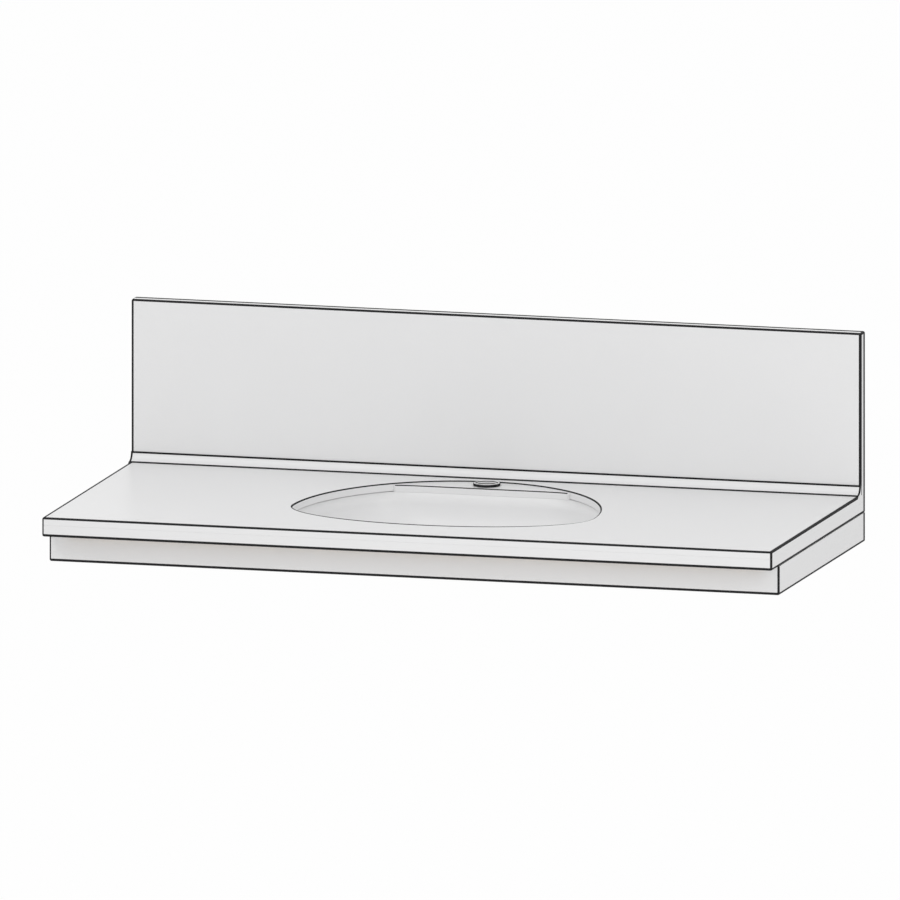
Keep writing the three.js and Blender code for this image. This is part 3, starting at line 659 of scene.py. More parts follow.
front_and_ends("edge_strip")
board("splash_sheet", round_the_ends("front", "top"), close=("bottom",),
      bands=[("front", side) for side in ENDS])
board("splash_strip_top", round_the_ends("back", "top"), close=("front",),
      bands=[(side, "back") for side in (*ENDS, "top")])
end_boards("splash_strip", lines=("back",), close=("front", "top"))
front_and_ends("apron")

# %% [markdown]
# The basin's rim is an egg shape: two half ellipses that share their widest line, a short one
# in front and a long one behind. A round plate is stretched in two halves to make it, which is
# how the workshop's template was set out too.

# %% The egg-shaped tool
RIM_HALF = 0.25
RIM_FRONT = 0.127
RIM_REAR = 0.29
WIDEST_Y = -0.339
EGG_STEPS = 256


def egg_tool(name, low, high, sideways=0.0, forward=0.0, backward=0.0):
    tool = add_round(name, 1, low, high, (0, 0), EGG_STEPS)
    edit(tool)
    for front, reach in ((True, RIM_FRONT + forward), (False, RIM_REAR + backward)):
        pick("VERT", lambda vertex: (vertex.co.y < -NEAR) == front)
        bpy.ops.transform.resize(value=(1, reach, 1), center_override=(0, 0, 0))
    bpy.ops.mesh.select_all(action="SELECT")
    bpy.ops.transform.resize(value=(RIM_HALF + sideways, 1, 1), center_override=(0, 0, 0))
    bpy.ops.transform.translate(value=(0, WIDEST_Y, 0))
    leave_edit()
    return tool


def outside_egg(point):
    reach = RIM_FRONT if point.y < WIDEST_Y else RIM_REAR
    return math.hypot(point.x / RIM_HALF, (point.y - WIDEST_Y) / reach) - 1


# %% [markdown]
# The worktop sheet is one board with the egg-shaped opening cut through it. Its arrises are
# eased before the cut. Along the two ends the eased edge runs out just before the cove, because
# the splash stands flush there and a maker leaves that joint square. The drawing shows no line
# at that joint either. On the deck the painted shade lines stop at the cove too, because cove and
# splash cover the rest.

# %% Worktop sheet
DECK_BAND = {"left": 0.006, "right": 0.0042}
LEVEL = 0.9
low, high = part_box("worktop_sheet")
corners = [low, high]
cove_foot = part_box("cove_strip")[0].y
arris_end = cove_foot - LINE_ARRIS * math.sqrt(2)
sheet = add_block("worktop_sheet_board", low, high)
dress(sheet, [pale, shade_line])
for depth in (arris_end, cove_foot):
    slice_along(sheet, 1, depth)
eased = ease_edges(sheet, corners, round_the_ends("front", "top"), LINE_ARRIS, segments=3,
                   finish=shade_line, stop=arris_end)
ease_edges(sheet, corners, [(side, "back") for side in ENDS], LINE_ARRIS, segments=3, finish=shade_line)
for side in ENDS:
    add_band(sheet, corners, side, "back", BAND_WIDTH["back"])
    add_band(sheet, corners, "top", side, DECK_BAND[side])
covered = finish_faces(sheet, pale, lambda face: face.normal.z > LEVEL
                       and face.calc_center_median().y > cove_foot)
print("eased edges", eased, "faces below cove and splash", covered)

# %% [markdown]
# The rim line is a shallow step: a second, slightly larger egg sinks a few hundredths of a
# millimetre into the deck, and the ground of that step is painted dark, as painted shade that
# outlines the opening. In front it is wider, because the drawing looks at the deck from low down,
# which shortens every depth. The edge of the opening is eased last, and its bevel faces carry the
# same painted shade.

# %% Opening and rim line
RIM_BAND = {"sideways": 0.0026, "forward": 0.009, "backward": 0.0022}
RIM_ARRIS = 0.0018
RIM_FIT = 0.002
SHADE_BAND_DEPTH = 0.00006
shade_band_floor = high.z - SHADE_BAND_DEPTH
cut_with(sheet, egg_tool("sheet_cutter", low.z - OVERRUN, high.z + OVERRUN))
cut_with(sheet, egg_tool("line_cutter", shade_band_floor, high.z + OVERRUN, **RIM_BAND))
edit(sheet)
found = pick("EDGE", lambda edge: all(
    abs(vertex.co.z - shade_band_floor) < NEAR and abs(outside_egg(vertex.co)) < RIM_FIT
    for vertex in edge.verts))
bpy.ops.mesh.bevel(offset=RIM_ARRIS, segments=3, affect="EDGES", material=slot_of(sheet, shade_line))
leave_edit()
# The ground of the shallow step is painted dark: painted shade round the opening.
finish_faces(sheet, shade_line, lambda face: face.normal.z > LEVEL
             and abs(face.calc_center_median().z - shade_band_floor) < NEAR)
print("rim edges", found)
hand_in(sheet, "worktop_sheet")

# %% [markdown]
# The cove strip turns the deck up into the splash. It is a square bar with a hollow quarter
# round, and a round bar laid along it makes the hollow. Its two long lips carry the two
# parallel lines of the drawing as painted shade, and a short painted line at each end closes them.

# %% Cove strip
COVE = 0.015
COVE_STEPS = 128
COVE_LINE = 0.0018
low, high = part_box("cove_strip")
hollow = add_round("hollow", COVE, low.x - OVERRUN, high.x + OVERRUN, (0, 0), COVE_STEPS)
put(hollow, (0, low.y, high.z), (0, math.radians(90), 0))
low.z -= JOINT_FILL
high.y += JOINT_FILL
cove = add_block("cove_strip_bar", low, high)
cut_with(cove, hollow)
dress(cove, [pale, shade_line])
for level in (low.x + LINE_ARRIS, high.x - LINE_ARRIS):
    slice_along(cove, 0, level)


def on_cove_line(face):
    middle = face.calc_center_median()
    seen = abs(face.normal.x) < 0.5 and face.normal.z > -0.5
    along = middle.z < low.z + COVE_LINE or middle.z > high.z - LINE_ARRIS
    return seen and (along or abs(middle.x) > high.x - LINE_ARRIS)


print("cove line faces", finish_faces(cove, shade_line, on_cove_line))
hand_in(cove, "cove_strip", angle=20)

# %% [markdown]
# The basin is cast in one piece. Its CAD solid already has the right form, so the piece starts
# as a merged copy of it. Its show face is polished, and its back keeps the duller skin of the
# mould, so every face that looks down at all gets that finish.

# %% Basin
DOWNWARDS = -0.001
basin = merged_copy("basin", "cast_basin")
dress(basin, [pale, cast_back])
found = finish_faces(basin, cast_back, lambda face: face.normal.z < DOWNWARDS)
print("faces on the back", found)
hand_in(basin, "basin", angle=40)

# %% [markdown]
# The tap ledge is a block that fills the crescent behind the bowl. The copy's many flat
# triangles are dissolved into whole faces first, so that smooth shading leaves no marks, and
# the sloping faces of its front arris carry the painted shade line that the drawing shows there.

# %% Tap ledge
SLOPE_MOST = 0.99
SLOPE_LEAST = 0.1
ARRIS_DROP = 0.002
UNDERSIDE = -0.5
ledge = merged_copy("tap_ledge", "tap_ledge_block")
dress(ledge, [pale, shade_line, cast_back])
clear_flats(ledge)
ledge_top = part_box("tap_ledge")[1].z
found = finish_faces(ledge, shade_line, lambda face: SLOPE_LEAST < face.normal.z < SLOPE_MOST
                     and face.calc_center_median().z > ledge_top - ARRIS_DROP)
finish_faces(ledge, cast_back, lambda face: face.normal.z < UNDERSIDE)
print("arris faces", found)
hand_in(ledge, "tap_ledge", angle=20)

# %% [markdown]
# The raised tap seat is a low ring round the tap hole, so it is turned. Its wall and its arrises
# are painted dark, painted shade which together makes the small dark mark of the drawing.

# %% Raised tap seat
TAP_HOLE = 0.0175
SEAT_LINE = 0.0011
low, high, tap_place, seat_radius = round_box("tap_seat")
seat = turn_profile("raised_tap_seat", [
    (TAP_HOLE, low.z), (seat_radius, low.z), (seat_radius, high.z), (TAP_HOLE, high.z),
    (TAP_HOLE, low.z)], tap_place)
dress(seat, [pale, shade_line])
soften(seat, SEAT_LINE, segments=3, finish=shade_line)


def on_seat_wall(face):
    away = face.calc_center_median().xy - Vector(tap_place)
    return abs(face.normal.z) < LEVEL and away.length > seat_radius - SEAT_LINE


print("dark wall faces", finish_faces(seat, shade_line, on_seat_wall))
hand_in(seat, "tap_seat")

# %% [markdown]
# The overflow ring is turned too, but its axis leans with the basin's front wall. The CAD ring
# knows that axis: most of its area faces along it. Its front face tells how far out it sits.

# %% Axis and place of the overflow ring
SAME_WAY = 0.999
ring_mesh = frame["nodes"]["overflow_ring"].data
area_facing = {}
for face in ring_mesh.polygons:
    key = tuple(round(value, 2) for value in face.normal)
    area_facing[key] = area_facing.get(key, 0) + face.area
ring_axis = Vector(max(area_facing, key=area_facing.get)).normalized()
if ring_axis.y < 0:
    ring_axis.negate()
front = [face.center for face in ring_mesh.polygons if face.normal.dot(ring_axis) > SAME_WAY]
ring_reach = max(centre.dot(ring_axis) for centre in front)
ring_place = sum((vertex.co for vertex in ring_mesh.vertices), Vector()) / len(ring_mesh.vertices)
ring_place += ring_axis * (ring_reach - ring_place.dot(ring_axis))
print("ring axis", [round(v, 3) for v in ring_axis], "place", [round(v, 4) for v in ring_place])

# %% [markdown]
# The ring is a flange with a sleeve that sits in the hole. It is turned upright with its front
# face at zero height, and then laid over to the axis.

# %% Overflow ring
RING_BORE = 0.007
RING_SLEEVE = 0.0085
RING_FLANGE = 0.014
RING_PLATE = 0.002
RING_LENGTH = 0.0113
RING_SOFT = 0.0007


def turned_towards(direction):
    return direction.to_track_quat("Z", "Y").to_euler()


trim = turn_profile("overflow_trim_ring", [
    (RING_BORE, -RING_LENGTH), (RING_SLEEVE, -RING_LENGTH), (RING_SLEEVE, -RING_PLATE),
    (RING_FLANGE, -RING_PLATE), (RING_FLANGE, 0), (RING_BORE, 0), (RING_BORE, -RING_LENGTH)], (0, 0))
soften(trim, RING_SOFT, segments=3)
dress(trim, [chrome])
put(trim, ring_place, turned_towards(ring_axis))
hand_in(trim, "overflow_ring")

# %% [markdown]
# The waste is a chromed brass casting: a dished flange, a tube with windows that let the
# overflow in, a four-armed spider that holds the stopper, and a thread for the locknut. The
# tube is turned from its section, a little thinner where the thread will be.

# %% Waste tube
WASTE_TUBE = 0.0205
WASTE_BORE = 0.017
WASTE_PLATE = 0.003
WASTE_SOFT = 0.0005
DISH_RADIUS = 0.026
DISH_DEPTH = 0.002
THREAD_DEPTH = 0.0008
waste_low, waste_high, WASTE_PLACE, waste_flange = round_box("waste_body")
nut_low, nut_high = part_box("waste_locknut")
plate_low = waste_high.z - WASTE_PLATE
dish_floor = waste_high.z - DISH_DEPTH
core = WASTE_TUBE - THREAD_DEPTH
waste = turn_profile("waste_casting", [
    (WASTE_BORE, waste_low.z),
    (core, waste_low.z),
    (core, nut_high.z),
    (WASTE_TUBE, nut_high.z + THREAD_DEPTH),
    (WASTE_TUBE, plate_low),
    (waste_flange, plate_low),
    (waste_flange, plate_low + WASTE_PLATE / 2),
    (waste_flange - WASTE_PLATE / 2, waste_high.z),
    (DISH_RADIUS, waste_high.z),
    (DISH_RADIUS, dish_floor),
    (WASTE_BORE + DISH_DEPTH, dish_floor),
    (WASTE_BORE, dish_floor - DISH_DEPTH),
    (WASTE_BORE, waste_low.z)], WASTE_PLACE)
soften(waste, WASTE_SOFT)
print("waste from", round(waste_low.z, 4), "to", round(waste_high.z, 4))

# %% [markdown]
# The spider is a boss with two bars laid across it. Its edges are softened while it is still
# loose, so that the bevel stays off the tube, and then it is drilled and joined.

# %% Spider
SPIDER_DROP = 0.026
SPIDER_HEIGHT = 0.005
SPIDER_BAR = 0.005
SPIDER_SOFT = 0.0006
BOSS_RADIUS = 0.008
BOSS_STEPS = 48
NECK_HOLE = 0.0048


def add_bar(name, along, width, reach, low, high, centre):
    half = Vector((width / 2, width / 2))
    half[along] = reach
    middle = Vector(centre)
    return add_block(name, (*(middle - half), low), (*(middle + half), high))


arm_high = waste_high.z - SPIDER_DROP
arm_low = arm_high - SPIDER_HEIGHT
arm_reach = (WASTE_BORE + WASTE_TUBE) / 2 - THREAD_DEPTH
boss = add_round("spider", BOSS_RADIUS, arm_low, arm_high, WASTE_PLACE, BOSS_STEPS)
for along in (0, 1):
    arm = add_bar("arm", along, SPIDER_BAR, arm_reach, arm_low, arm_high, WASTE_PLACE)
    cut_with(boss, arm, "UNION")
clear_flats(boss, SLIVER)
soften(boss, SPIDER_SOFT)
neck_cutter = add_round(
    "neck_hole", NECK_HOLE, arm_low - OVERRUN, arm_high + OVERRUN, WASTE_PLACE, BOSS_STEPS)
cut_with(boss, neck_cutter)
cut_with(waste, boss, "UNION")
print("spider from", round(arm_low, 4), "to", round(arm_high, 4))

# %% [markdown]
# The windows let the overflow's water into the tube. One long bar cuts both, in front and
# behind, just below the basin's underside, where the overflow channel leads.

# %% Windows
WINDOW_WIDTH = 0.012
WINDOW_HEIGHT = 0.005
WINDOW_REACH = 0.03
WINDOW_DROP = 0.004
window_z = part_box("basin")[0].z - WINDOW_DROP
window_cutter = add_bar("window", 1, WINDOW_WIDTH, WINDOW_REACH, window_z - WINDOW_HEIGHT / 2,
                        window_z + WINDOW_HEIGHT / 2, WASTE_PLACE)
cut_with(waste, window_cutter)
print("waste faces", len(waste.data.polygons))

# %% [markdown]
# A thread is one ridge that climbs as it goes round. A small triangle is drawn at the tube's
# side, and the Screw modifier carries it round and up. Its two open ends are filled, and the
# ridge is joined to the tube, with its foot sunk a little into the wall.

# %% Thread on the waste
THREAD_PITCH = 0.0015
THREAD_RIDGE = THREAD_PITCH * 0.62
THREAD_TURNS = 7
THREAD_STEPS = 48
start_fresh()
bpy.ops.mesh.primitive_circle_add(vertices=3, radius=THREAD_RIDGE, fill_type="NOTHING")
thread = settle("waste_thread")
put(thread, (0, 0, 0), (math.radians(90), 0, 0))
put(thread, (0, 0, 0), (0, math.radians(90), 0))
ridge = max(vertex.co.x for vertex in thread.data.vertices)
put(thread, (WASTE_TUBE - ridge, 0, 0))
winding = thread.modifiers.new("winding", "SCREW")
winding.angle = math.tau
winding.screw_offset = THREAD_PITCH
winding.iterations = THREAD_TURNS
winding.steps = THREAD_STEPS
winding.render_steps = THREAD_STEPS
bpy.ops.object.modifier_apply(modifier=winding.name)
merge_close(thread)
edit(thread)
bpy.ops.mesh.select_all(action="DESELECT")
bpy.ops.mesh.select_non_manifold()
bpy.ops.mesh.fill()
bpy.ops.mesh.select_all(action="SELECT")
bpy.ops.mesh.normals_make_consistent(inside=False)
leave_edit()
put(thread, (*WASTE_PLACE, waste_low.z + THREAD_PITCH))
print("thread height", round(thread.dimensions.z, 4), "reach", round(thread.dimensions.x / 2, 4))
choose(waste)
thread.select_set(True)
bpy.ops.object.join()
dress(waste, [chrome])
hand_in(waste, "waste_body")

# %% [markdown]
# Three rings sit round the tube, each with a little air: a flat rubber seal under the flange, and
# a tapered rubber gasket with a brass slip washer under the channel. All are turned.

# %% Seals and washer
AIR = 0.0003
TUBE_HOLE = WASTE_TUBE + AIR
GASKET_TAPER = 0.004


def turned_ring(name, node, finish, hole, taper=0.0, round_share=0.25):
    low, high, centre, outer = round_box(node)
    ring = turn_profile(name, [
        (hole, low.z), (outer, low.z), (outer - taper, high.z), (hole, high.z), (hole, low.z)], centre)
    soften(ring, (high.z - low.z) * round_share, segments=3)
    dress(ring, [finish])
    hand_in(ring, node)


turned_ring("flat_flange_seal", "waste_flange_seal", black_rubber, TUBE_HOLE)
turned_ring("tapered_gasket", "waste_gasket", black_rubber, TUBE_HOLE, GASKET_TAPER, round_share=0.12)
turned_ring("slip_washer", "waste_washer", yellow_brass, TUBE_HOLE)

# %% [markdown]
# The locknut starts as a six-sided cylinder. Keeping only what it has in common with a turned,
# pointed barrel gives its corners the curved chamfer of a real nut.

# %% Locknut
NUT_SLOPE = 0.45
NUT_SOFT = 0.0003
low, high = nut_low.z, nut_high.z
corner = (nut_high.x - nut_low.x) / 2
flat = (nut_high.y - nut_low.y) / 2
chamfer = (corner - flat) * NUT_SLOPE
nut = add_round("hexagon_locknut", corner, low, high, (0, 0), 6)
put(nut, (*WASTE_PLACE, 0), (0, 0, math.radians(30)))
barrel = turn_profile("barrel", [
    (0, low), (flat, low), (corner, low + chamfer), (corner, high - chamfer), (flat, high), (0, high)],
    WASTE_PLACE)
cut_with(nut, barrel, "INTERSECT")
cut_with(nut, add_round("bore", TUBE_HOLE, low - OVERRUN, high + OVERRUN, WASTE_PLACE))
merge_close(nut, SLIVER)
soften(nut, NUT_SOFT)
dress(nut, [yellow_brass])
hand_in(nut, "waste_locknut")

# %% [markdown]
# The stopper is what a hand touches. Its cap is a low dome. The stem below it ends in a
# grooved plug, and a soft ring round the plug seals it. A press latches the stopper down and
# the next press lets it up by 8 mm.

# %% Stopper cap and seal
CAP_EDGE = 0.0016
CAP_SOFT = 0.0003
DOME_STEPS = 12
PLUG_RADIUS = 0.009
low, high, _, cap_radius = round_box("stopper_cap")
dome_rise = high.z - low.z - CAP_EDGE
dome = [(0, low.z), (cap_radius, low.z)]
for step in range(DOME_STEPS):
    turn = step / DOME_STEPS * math.pi / 2
    dome.append((cap_radius * math.cos(turn), low.z + CAP_EDGE + dome_rise * math.sin(turn)))
dome.append((0, high.z))
cap = turn_profile("domed_stopper_cap", dome, WASTE_PLACE)
soften(cap, CAP_SOFT, degrees=50)
dress(cap, [chrome])
hand_in(cap, "stopper_cap", angle=40)
turned_ring("stopper_seal_ring", "stopper_seal", black_rubber, PLUG_RADIUS + AIR, round_share=0.3)

# %% Stopper stem and plug
STEM_RADIUS = 0.003
STEM_STEPS = 64
STEM_SOFT = 0.0002
PLUG_LENGTH = 0.005
GROOVE = 0.0008
low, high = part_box("stopper_stem")
stem_low = low.z
plug_low = high.z - PLUG_LENGTH
groove_low = plug_low + 2 * GROOVE
groove_high = plug_low + 3 * GROOVE
stem = turn_profile("stopper_stem_and_plug", [
    (0, stem_low), (STEM_RADIUS, stem_low), (STEM_RADIUS, plug_low), (PLUG_RADIUS, plug_low),
    (PLUG_RADIUS, groove_low), (PLUG_RADIUS - GROOVE, groove_low),
    (PLUG_RADIUS - GROOVE, groove_high), (PLUG_RADIUS, groove_high),
    (PLUG_RADIUS, high.z), (0, high.z)], WASTE_PLACE, STEM_STEPS)
soften(stem, STEM_SOFT)
dress(stem, [zinc])
hand_in(stem, "stopper_stem")

# %% [markdown]
# The stem slides in a white plastic cartridge, whose neck is screwed into the spider's boss.
# Moulded ribs stiffen it, and its shoulder rests on the boss.

# %% Cartridge
CARTRIDGE_NECK = 0.0045
CARTRIDGE_BORE = STEM_RADIUS + AIR
SHOULDER_GAP = 0.0002
RIBS = 4
RIB_HEIGHT = 0.0007
RIB_SLOPE = 0.2
low, high, _, cartridge_radius = round_box("stopper_cartridge")
waist = cartridge_radius - RIB_HEIGHT
shoulder = arm_high + SHOULDER_GAP
bore_floor = stem_low - AIR
outline = [(0, low.z), (CARTRIDGE_NECK, low.z), (CARTRIDGE_NECK, shoulder), (cartridge_radius, shoulder)]
rib_pitch = (high.z - shoulder) / (2 * RIBS + 1)
for index in range(RIBS):
    rib_top = shoulder + (2 * index + 1) * rib_pitch
    outline += [
        (cartridge_radius, rib_top),
        (waist, rib_top + rib_pitch * RIB_SLOPE),
        (waist, rib_top + rib_pitch * (1 - RIB_SLOPE)),
        (cartridge_radius, rib_top + rib_pitch),
    ]
outline += [
    (cartridge_radius, high.z), (CARTRIDGE_BORE, high.z), (CARTRIDGE_BORE, bore_floor), (0, bore_floor)]
cartridge = turn_profile("ribbed_cartridge", outline, WASTE_PLACE, STEM_STEPS)
soften(cartridge, STEM_SOFT, segments=1)
dress(cartridge, [acetal])
hand_in(cartridge, "stopper_cartridge")

# %% [markdown]
# The overflow channel is a thin moulded duct glued below the basin. Its CAD form is right, so
# it is a merged copy with softened corners and the duller skin of a moulded back.

# %% Overflow channel
CHANNEL_SOFT = 0.0008
channel = merged_copy("overflow_channel", "moulded_overflow_channel")
clear_flats(channel, SLIVER)
soften(channel, CHANNEL_SOFT, degrees=40)
dress(channel, [cast_back])
hand_in(channel, "overflow_channel")

# %% [markdown]
# A basin clip is a strip of steel with two bends. The strip's top face is drawn first: the
# width of its tip, extruded down the leg and out along the foot. Bevelling the two folds makes
# the bends. That face is outside the upper bend and inside the lower one, so the radius of the
# upper one is larger by the steel's thickness.

# %% Bent strip of a basin clip
CLIP_TIP_OUT = 0.010
CLIP_LEG_OUT = 0.023
CLIP_SCREW_OUT = 0.047
CLIP_END_OUT = 0.061
CLIP_STEEL = 0.002
CLIP_WIDTH = 0.020
BEND_INSIDE = 0.002
BEND_STEPS = 5
clip_low, clip_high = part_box("basin_clip_1")
tip_z = clip_high.z
foot_z = clip_low.z + CLIP_STEEL
start_fresh()
bpy.ops.mesh.primitive_plane_add(size=CLIP_WIDTH, location=(0, 0, 0))
clip = settle("clip_pattern")
edit(clip)
pick("VERT", lambda vertex: vertex.co.x > 0)
bpy.ops.mesh.delete(type="VERT")
bpy.ops.mesh.select_all(action="SELECT")
bpy.ops.transform.translate(value=(CLIP_TIP_OUT + CLIP_WIDTH / 2, 0, tip_z))
for out, up in ((CLIP_LEG_OUT - CLIP_TIP_OUT, 0), (0, foot_z - tip_z), (CLIP_END_OUT - CLIP_LEG_OUT, 0)):
    bpy.ops.mesh.extrude_region_move(TRANSFORM_OT_translate={"value": (out, 0, up)})
for fold_z, radius in ((tip_z, BEND_INSIDE + CLIP_STEEL), (foot_z, BEND_INSIDE)):
    pick("EDGE", lambda edge: all(
        abs(vertex.co.x - CLIP_LEG_OUT) < NEAR and abs(vertex.co.z - fold_z) < NEAR
        for vertex in edge.verts))
    bpy.ops.mesh.bevel(offset=radius, segments=BEND_STEPS, affect="EDGES")
leave_edit()
print("strip faces", len(clip.data.polygons))

# %% [markdown]
# Solidify gives the strip the thickness of its steel. The corners of tip and foot are rounded,
# as a punch leaves them, the screw hole is drilled, and the sharp edges are softened.

# %% Steel, ends and hole of the clip
END_ROUND = 0.005
TIP_ROUND = 0.003
CLIP_HOLE = 0.0023
CLIP_HOLE_STEPS = 32
CLIP_SOFT = 0.0003
thicken = clip.modifiers.new("steel", "SOLIDIFY")
thicken.thickness = CLIP_STEEL
thicken.offset = 1
thicken.use_even_offset = True
bpy.ops.object.modifier_apply(modifier=thicken.name)
edit_all(clip)
bpy.ops.mesh.normals_make_consistent(inside=False)
for end, radius in ((CLIP_END_OUT, END_ROUND), (CLIP_TIP_OUT, TIP_ROUND)):
    pick("EDGE", lambda edge: all(abs(vertex.co.x - end) < NEAR for vertex in edge.verts)
         and abs(edge.verts[0].co.y - edge.verts[1].co.y) < NEAR)
    bpy.ops.mesh.bevel(offset=radius, segments=BEND_STEPS, affect="EDGES")
leave_edit()
cut_with(clip, add_round("screw_hole", CLIP_HOLE, clip_low.z - OVERRUN, foot_z + OVERRUN,
                         (CLIP_SCREW_OUT, 0), CLIP_HOLE_STEPS))
merge_close(clip, SLIVER)
soften(clip, CLIP_SOFT, degrees=40)
dress(clip, [zinc])
heights = [vertex.co.z for vertex in clip.data.vertices]
print("clip from", round(min(heights), 5), "to", round(max(heights), 5), "CAD", clip_low.z, clip_high.z)

# %% [markdown]
# The screws are pan heads with a cross recess, driven from below, so the head is at the low
# end. A screw is turned, and two crossed bars, narrower at their inner end, cut the recess.

# %% One pan-head screw
SCREW_HEAD = 0.005
SCREW_HEAD_HEIGHT = 0.003
SCREW_FLAT = 0.5
SCREW_CROWN = 0.0021
SCREW_SHANK = 0.002
SCREW_POINT = 0.003
SCREW_STEPS = 40
CROWN_STEPS = 6
RECESS_REACH = 0.0026
RECESS_WIDTH = 0.001
RECESS_DEPTH = 0.0017
RECESS_START = 0.001
RECESS_TAPER = 0.45


def pan_screw(name, low_z, tip_z):
    top_z = low_z + SCREW_HEAD_HEIGHT
    profile = [(0, low_z)]
    for step in range(CROWN_STEPS + 1):
        turn = step / CROWN_STEPS * math.pi / 2
        radius = SCREW_HEAD * (SCREW_FLAT + (1 - SCREW_FLAT) * math.sin(turn))
        profile.append((radius, low_z + SCREW_CROWN * (1 - math.cos(turn))))
    profile += [(SCREW_HEAD, top_z), (SCREW_SHANK, top_z), (SCREW_SHANK, tip_z - SCREW_POINT), (0, tip_z)]
    screw = turn_profile(name, profile, (0, 0), SCREW_STEPS)
    for along in (0, 1):
        bar = add_bar("recess", along, RECESS_WIDTH, RECESS_REACH, low_z - RECESS_START,
                      low_z + RECESS_DEPTH, (0, 0))
        edit(bar)
        pick("FACE", lambda face: face.normal.z > LEVEL)
        bpy.ops.transform.resize(value=(RECESS_TAPER, RECESS_TAPER, 1), center_override=(0, 0, 0))
        leave_edit()
        cut_with(screw, bar)
    dress(screw, [zinc])
    return screw


screw_low, screw_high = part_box("clip_screw_1")
screw = pan_screw("screw_pattern", screw_low.z, screw_high.z)
print("screw length", round(screw.dimensions.z, 4))

# %% [markdown]
# Each clip and screw is a copy in its place. The clips stand squarely off the egg-shaped rim,
# so a short formula gives the place and the direction. No two screws stop at the same turn.

# %% Clips and screws in their places
CLIP_TURNS = (-36, 18, 55, 125, 162, 216)
SCREW_TURN = 23
for number, degrees in enumerate(CLIP_TURNS, start=1):
    angle = math.radians(degrees)
    reach = RIM_FRONT if math.sin(angle) < 0 else RIM_REAR
    here = Vector((RIM_HALF * math.cos(angle), WIDEST_Y + reach * math.sin(angle), 0))
    outward = math.atan2(math.sin(angle) / reach, math.cos(angle) / RIM_HALF)
    away = Vector((math.cos(outward), math.sin(outward), 0)) * CLIP_SCREW_OUT
    piece = copy_of(clip, f"bent_clip_{number}")
    put(piece, here, (0, 0, outward))
    hand_in(piece, f"basin_clip_{number}")
    piece = copy_of(screw, f"pan_screw_{number}")
    put(piece, here + away, (0, 0, math.radians(SCREW_TURN * number)))
    hand_in(piece, f"clip_screw_{number}")
for pattern in (clip, screw):
    bpy.data.objects.remove(pattern)

# %% [markdown]
# Rails, underlay and splash backer are birch plywood. The faces show long grain and the sawn
# edges show the layers, so each board has two materials, and the direction that a face looks
# in decides which it gets. Grain runs along the board, so front and rear rails have it along
# the width and the side rails along the depth.

# %% Rails and splash backer
WOOD_ARRIS = 0.0006
LAYERED = 0.7


def layer_faces(piece, axis):
    finish_faces(piece, ply_edges[axis], lambda face: abs(face.normal[axis]) < LAYERED)


def wood_board(name, node, axis, face_finish):
    corners = [Vector(corner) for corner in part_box(node)]
    piece = add_block(name, *corners)
    dress(piece, [face_finish, ply_edges[axis]])
    ease_edges(piece, corners, ALL_PAIRS, WOOD_ARRIS)
    layer_faces(piece, axis)
    hand_in(piece, node)


wood_board("front_rail", "rail_front", 1, ply_face)
wood_board("rear_rail", "rail_rear", 1, ply_face)
for side in ENDS:
    wood_board(f"{side}_rail", f"rail_{side}", 0, ply_face_cross)
    wood_board(f"{side}_cross_rail", f"rail_cross_{side}", 0, ply_face_cross)
wood_board("splash_backer_board", "splash_backer", 1, ply_face)

# %% [markdown]
# The underlay has a cut-out that clears the basin, and the corner blocks are three-sided, so
# both start as copies of their solids. Each block is glued, and a screw holds it while the glue
# sets. The record has no solid for that screw, so it only rides on the block's body.

# %% Underlay
underlay = merged_copy("underlay_panel", "underlay_board")
clear_flats(underlay)
dress(underlay, [ply_face, ply_edges[2]])
layer_faces(underlay, 2)
hand_in(underlay, "underlay_panel")

# %% Corner blocks
BLOCK_SOFT = 0.0008
BLOCK_SCREW_IN = 0.014
BLOCK_SCREW_TURN = 31
for end in ("front", "rear"):
    for side in ENDS:
        node = f"corner_block_{end}_{side}"
        low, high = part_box(node)
        block = merged_copy(node, f"glued_block_{end}_{side}")
        dress(block, [ply_face_cross, ply_edges[2]])
        soften(block, BLOCK_SOFT, degrees=40)
        layer_faces(block, 2)
        hand_in(block, node, angle=40)
        x = low.x + BLOCK_SCREW_IN if side == "left" else high.x - BLOCK_SCREW_IN
        y = low.y + BLOCK_SCREW_IN if end == "front" else high.y - BLOCK_SCREW_IN
        fixing = pan_screw(f"block_screw_{end}_{side}", low.z - SCREW_HEAD_HEIGHT, high.z)
        put(fixing, (x, y, 0), (0, 0, math.radians(BLOCK_SCREW_TURN)))
        smooth(fixing)
        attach(fixing, BODY_OF[node])
        made.append(fixing.name)
        print(fixing.name, "at", round(x, 4), round(y, 4))

# %% [markdown]
# Hardly anything shows of the bead of sealant between sheet and basin, so its CAD solid stays
# and only gets the finish of silicone.

# %% Sealant bead
dress(frame["nodes"]["sealant_bead"], [sealant])
print("kept CAD node", frame["nodes"]["sealant_bead"].name)

# %% [markdown]
# The drawing is in parallel projection, so the camera is orthographic. Its direction comes
# from the drawing's own edges: about 15 degrees round to the right and 10 degrees up. How far
# the picture's middle lies from the origin, across and up, comes from them too.

# %% Camera
TURN = math.radians(15.28)
RISE = math.radians(9.94)
FRAME_WIDTH = 1.4507
MIDDLE_ACROSS = -0.0788
MIDDLE_UP = 0.1207
STAND_BACK = 5
SIGHT = 50


def add_to_scene(name, data):
    item = bpy.data.objects.new(name, data)
    bpy.context.scene.collection.objects.link(item)
    return item


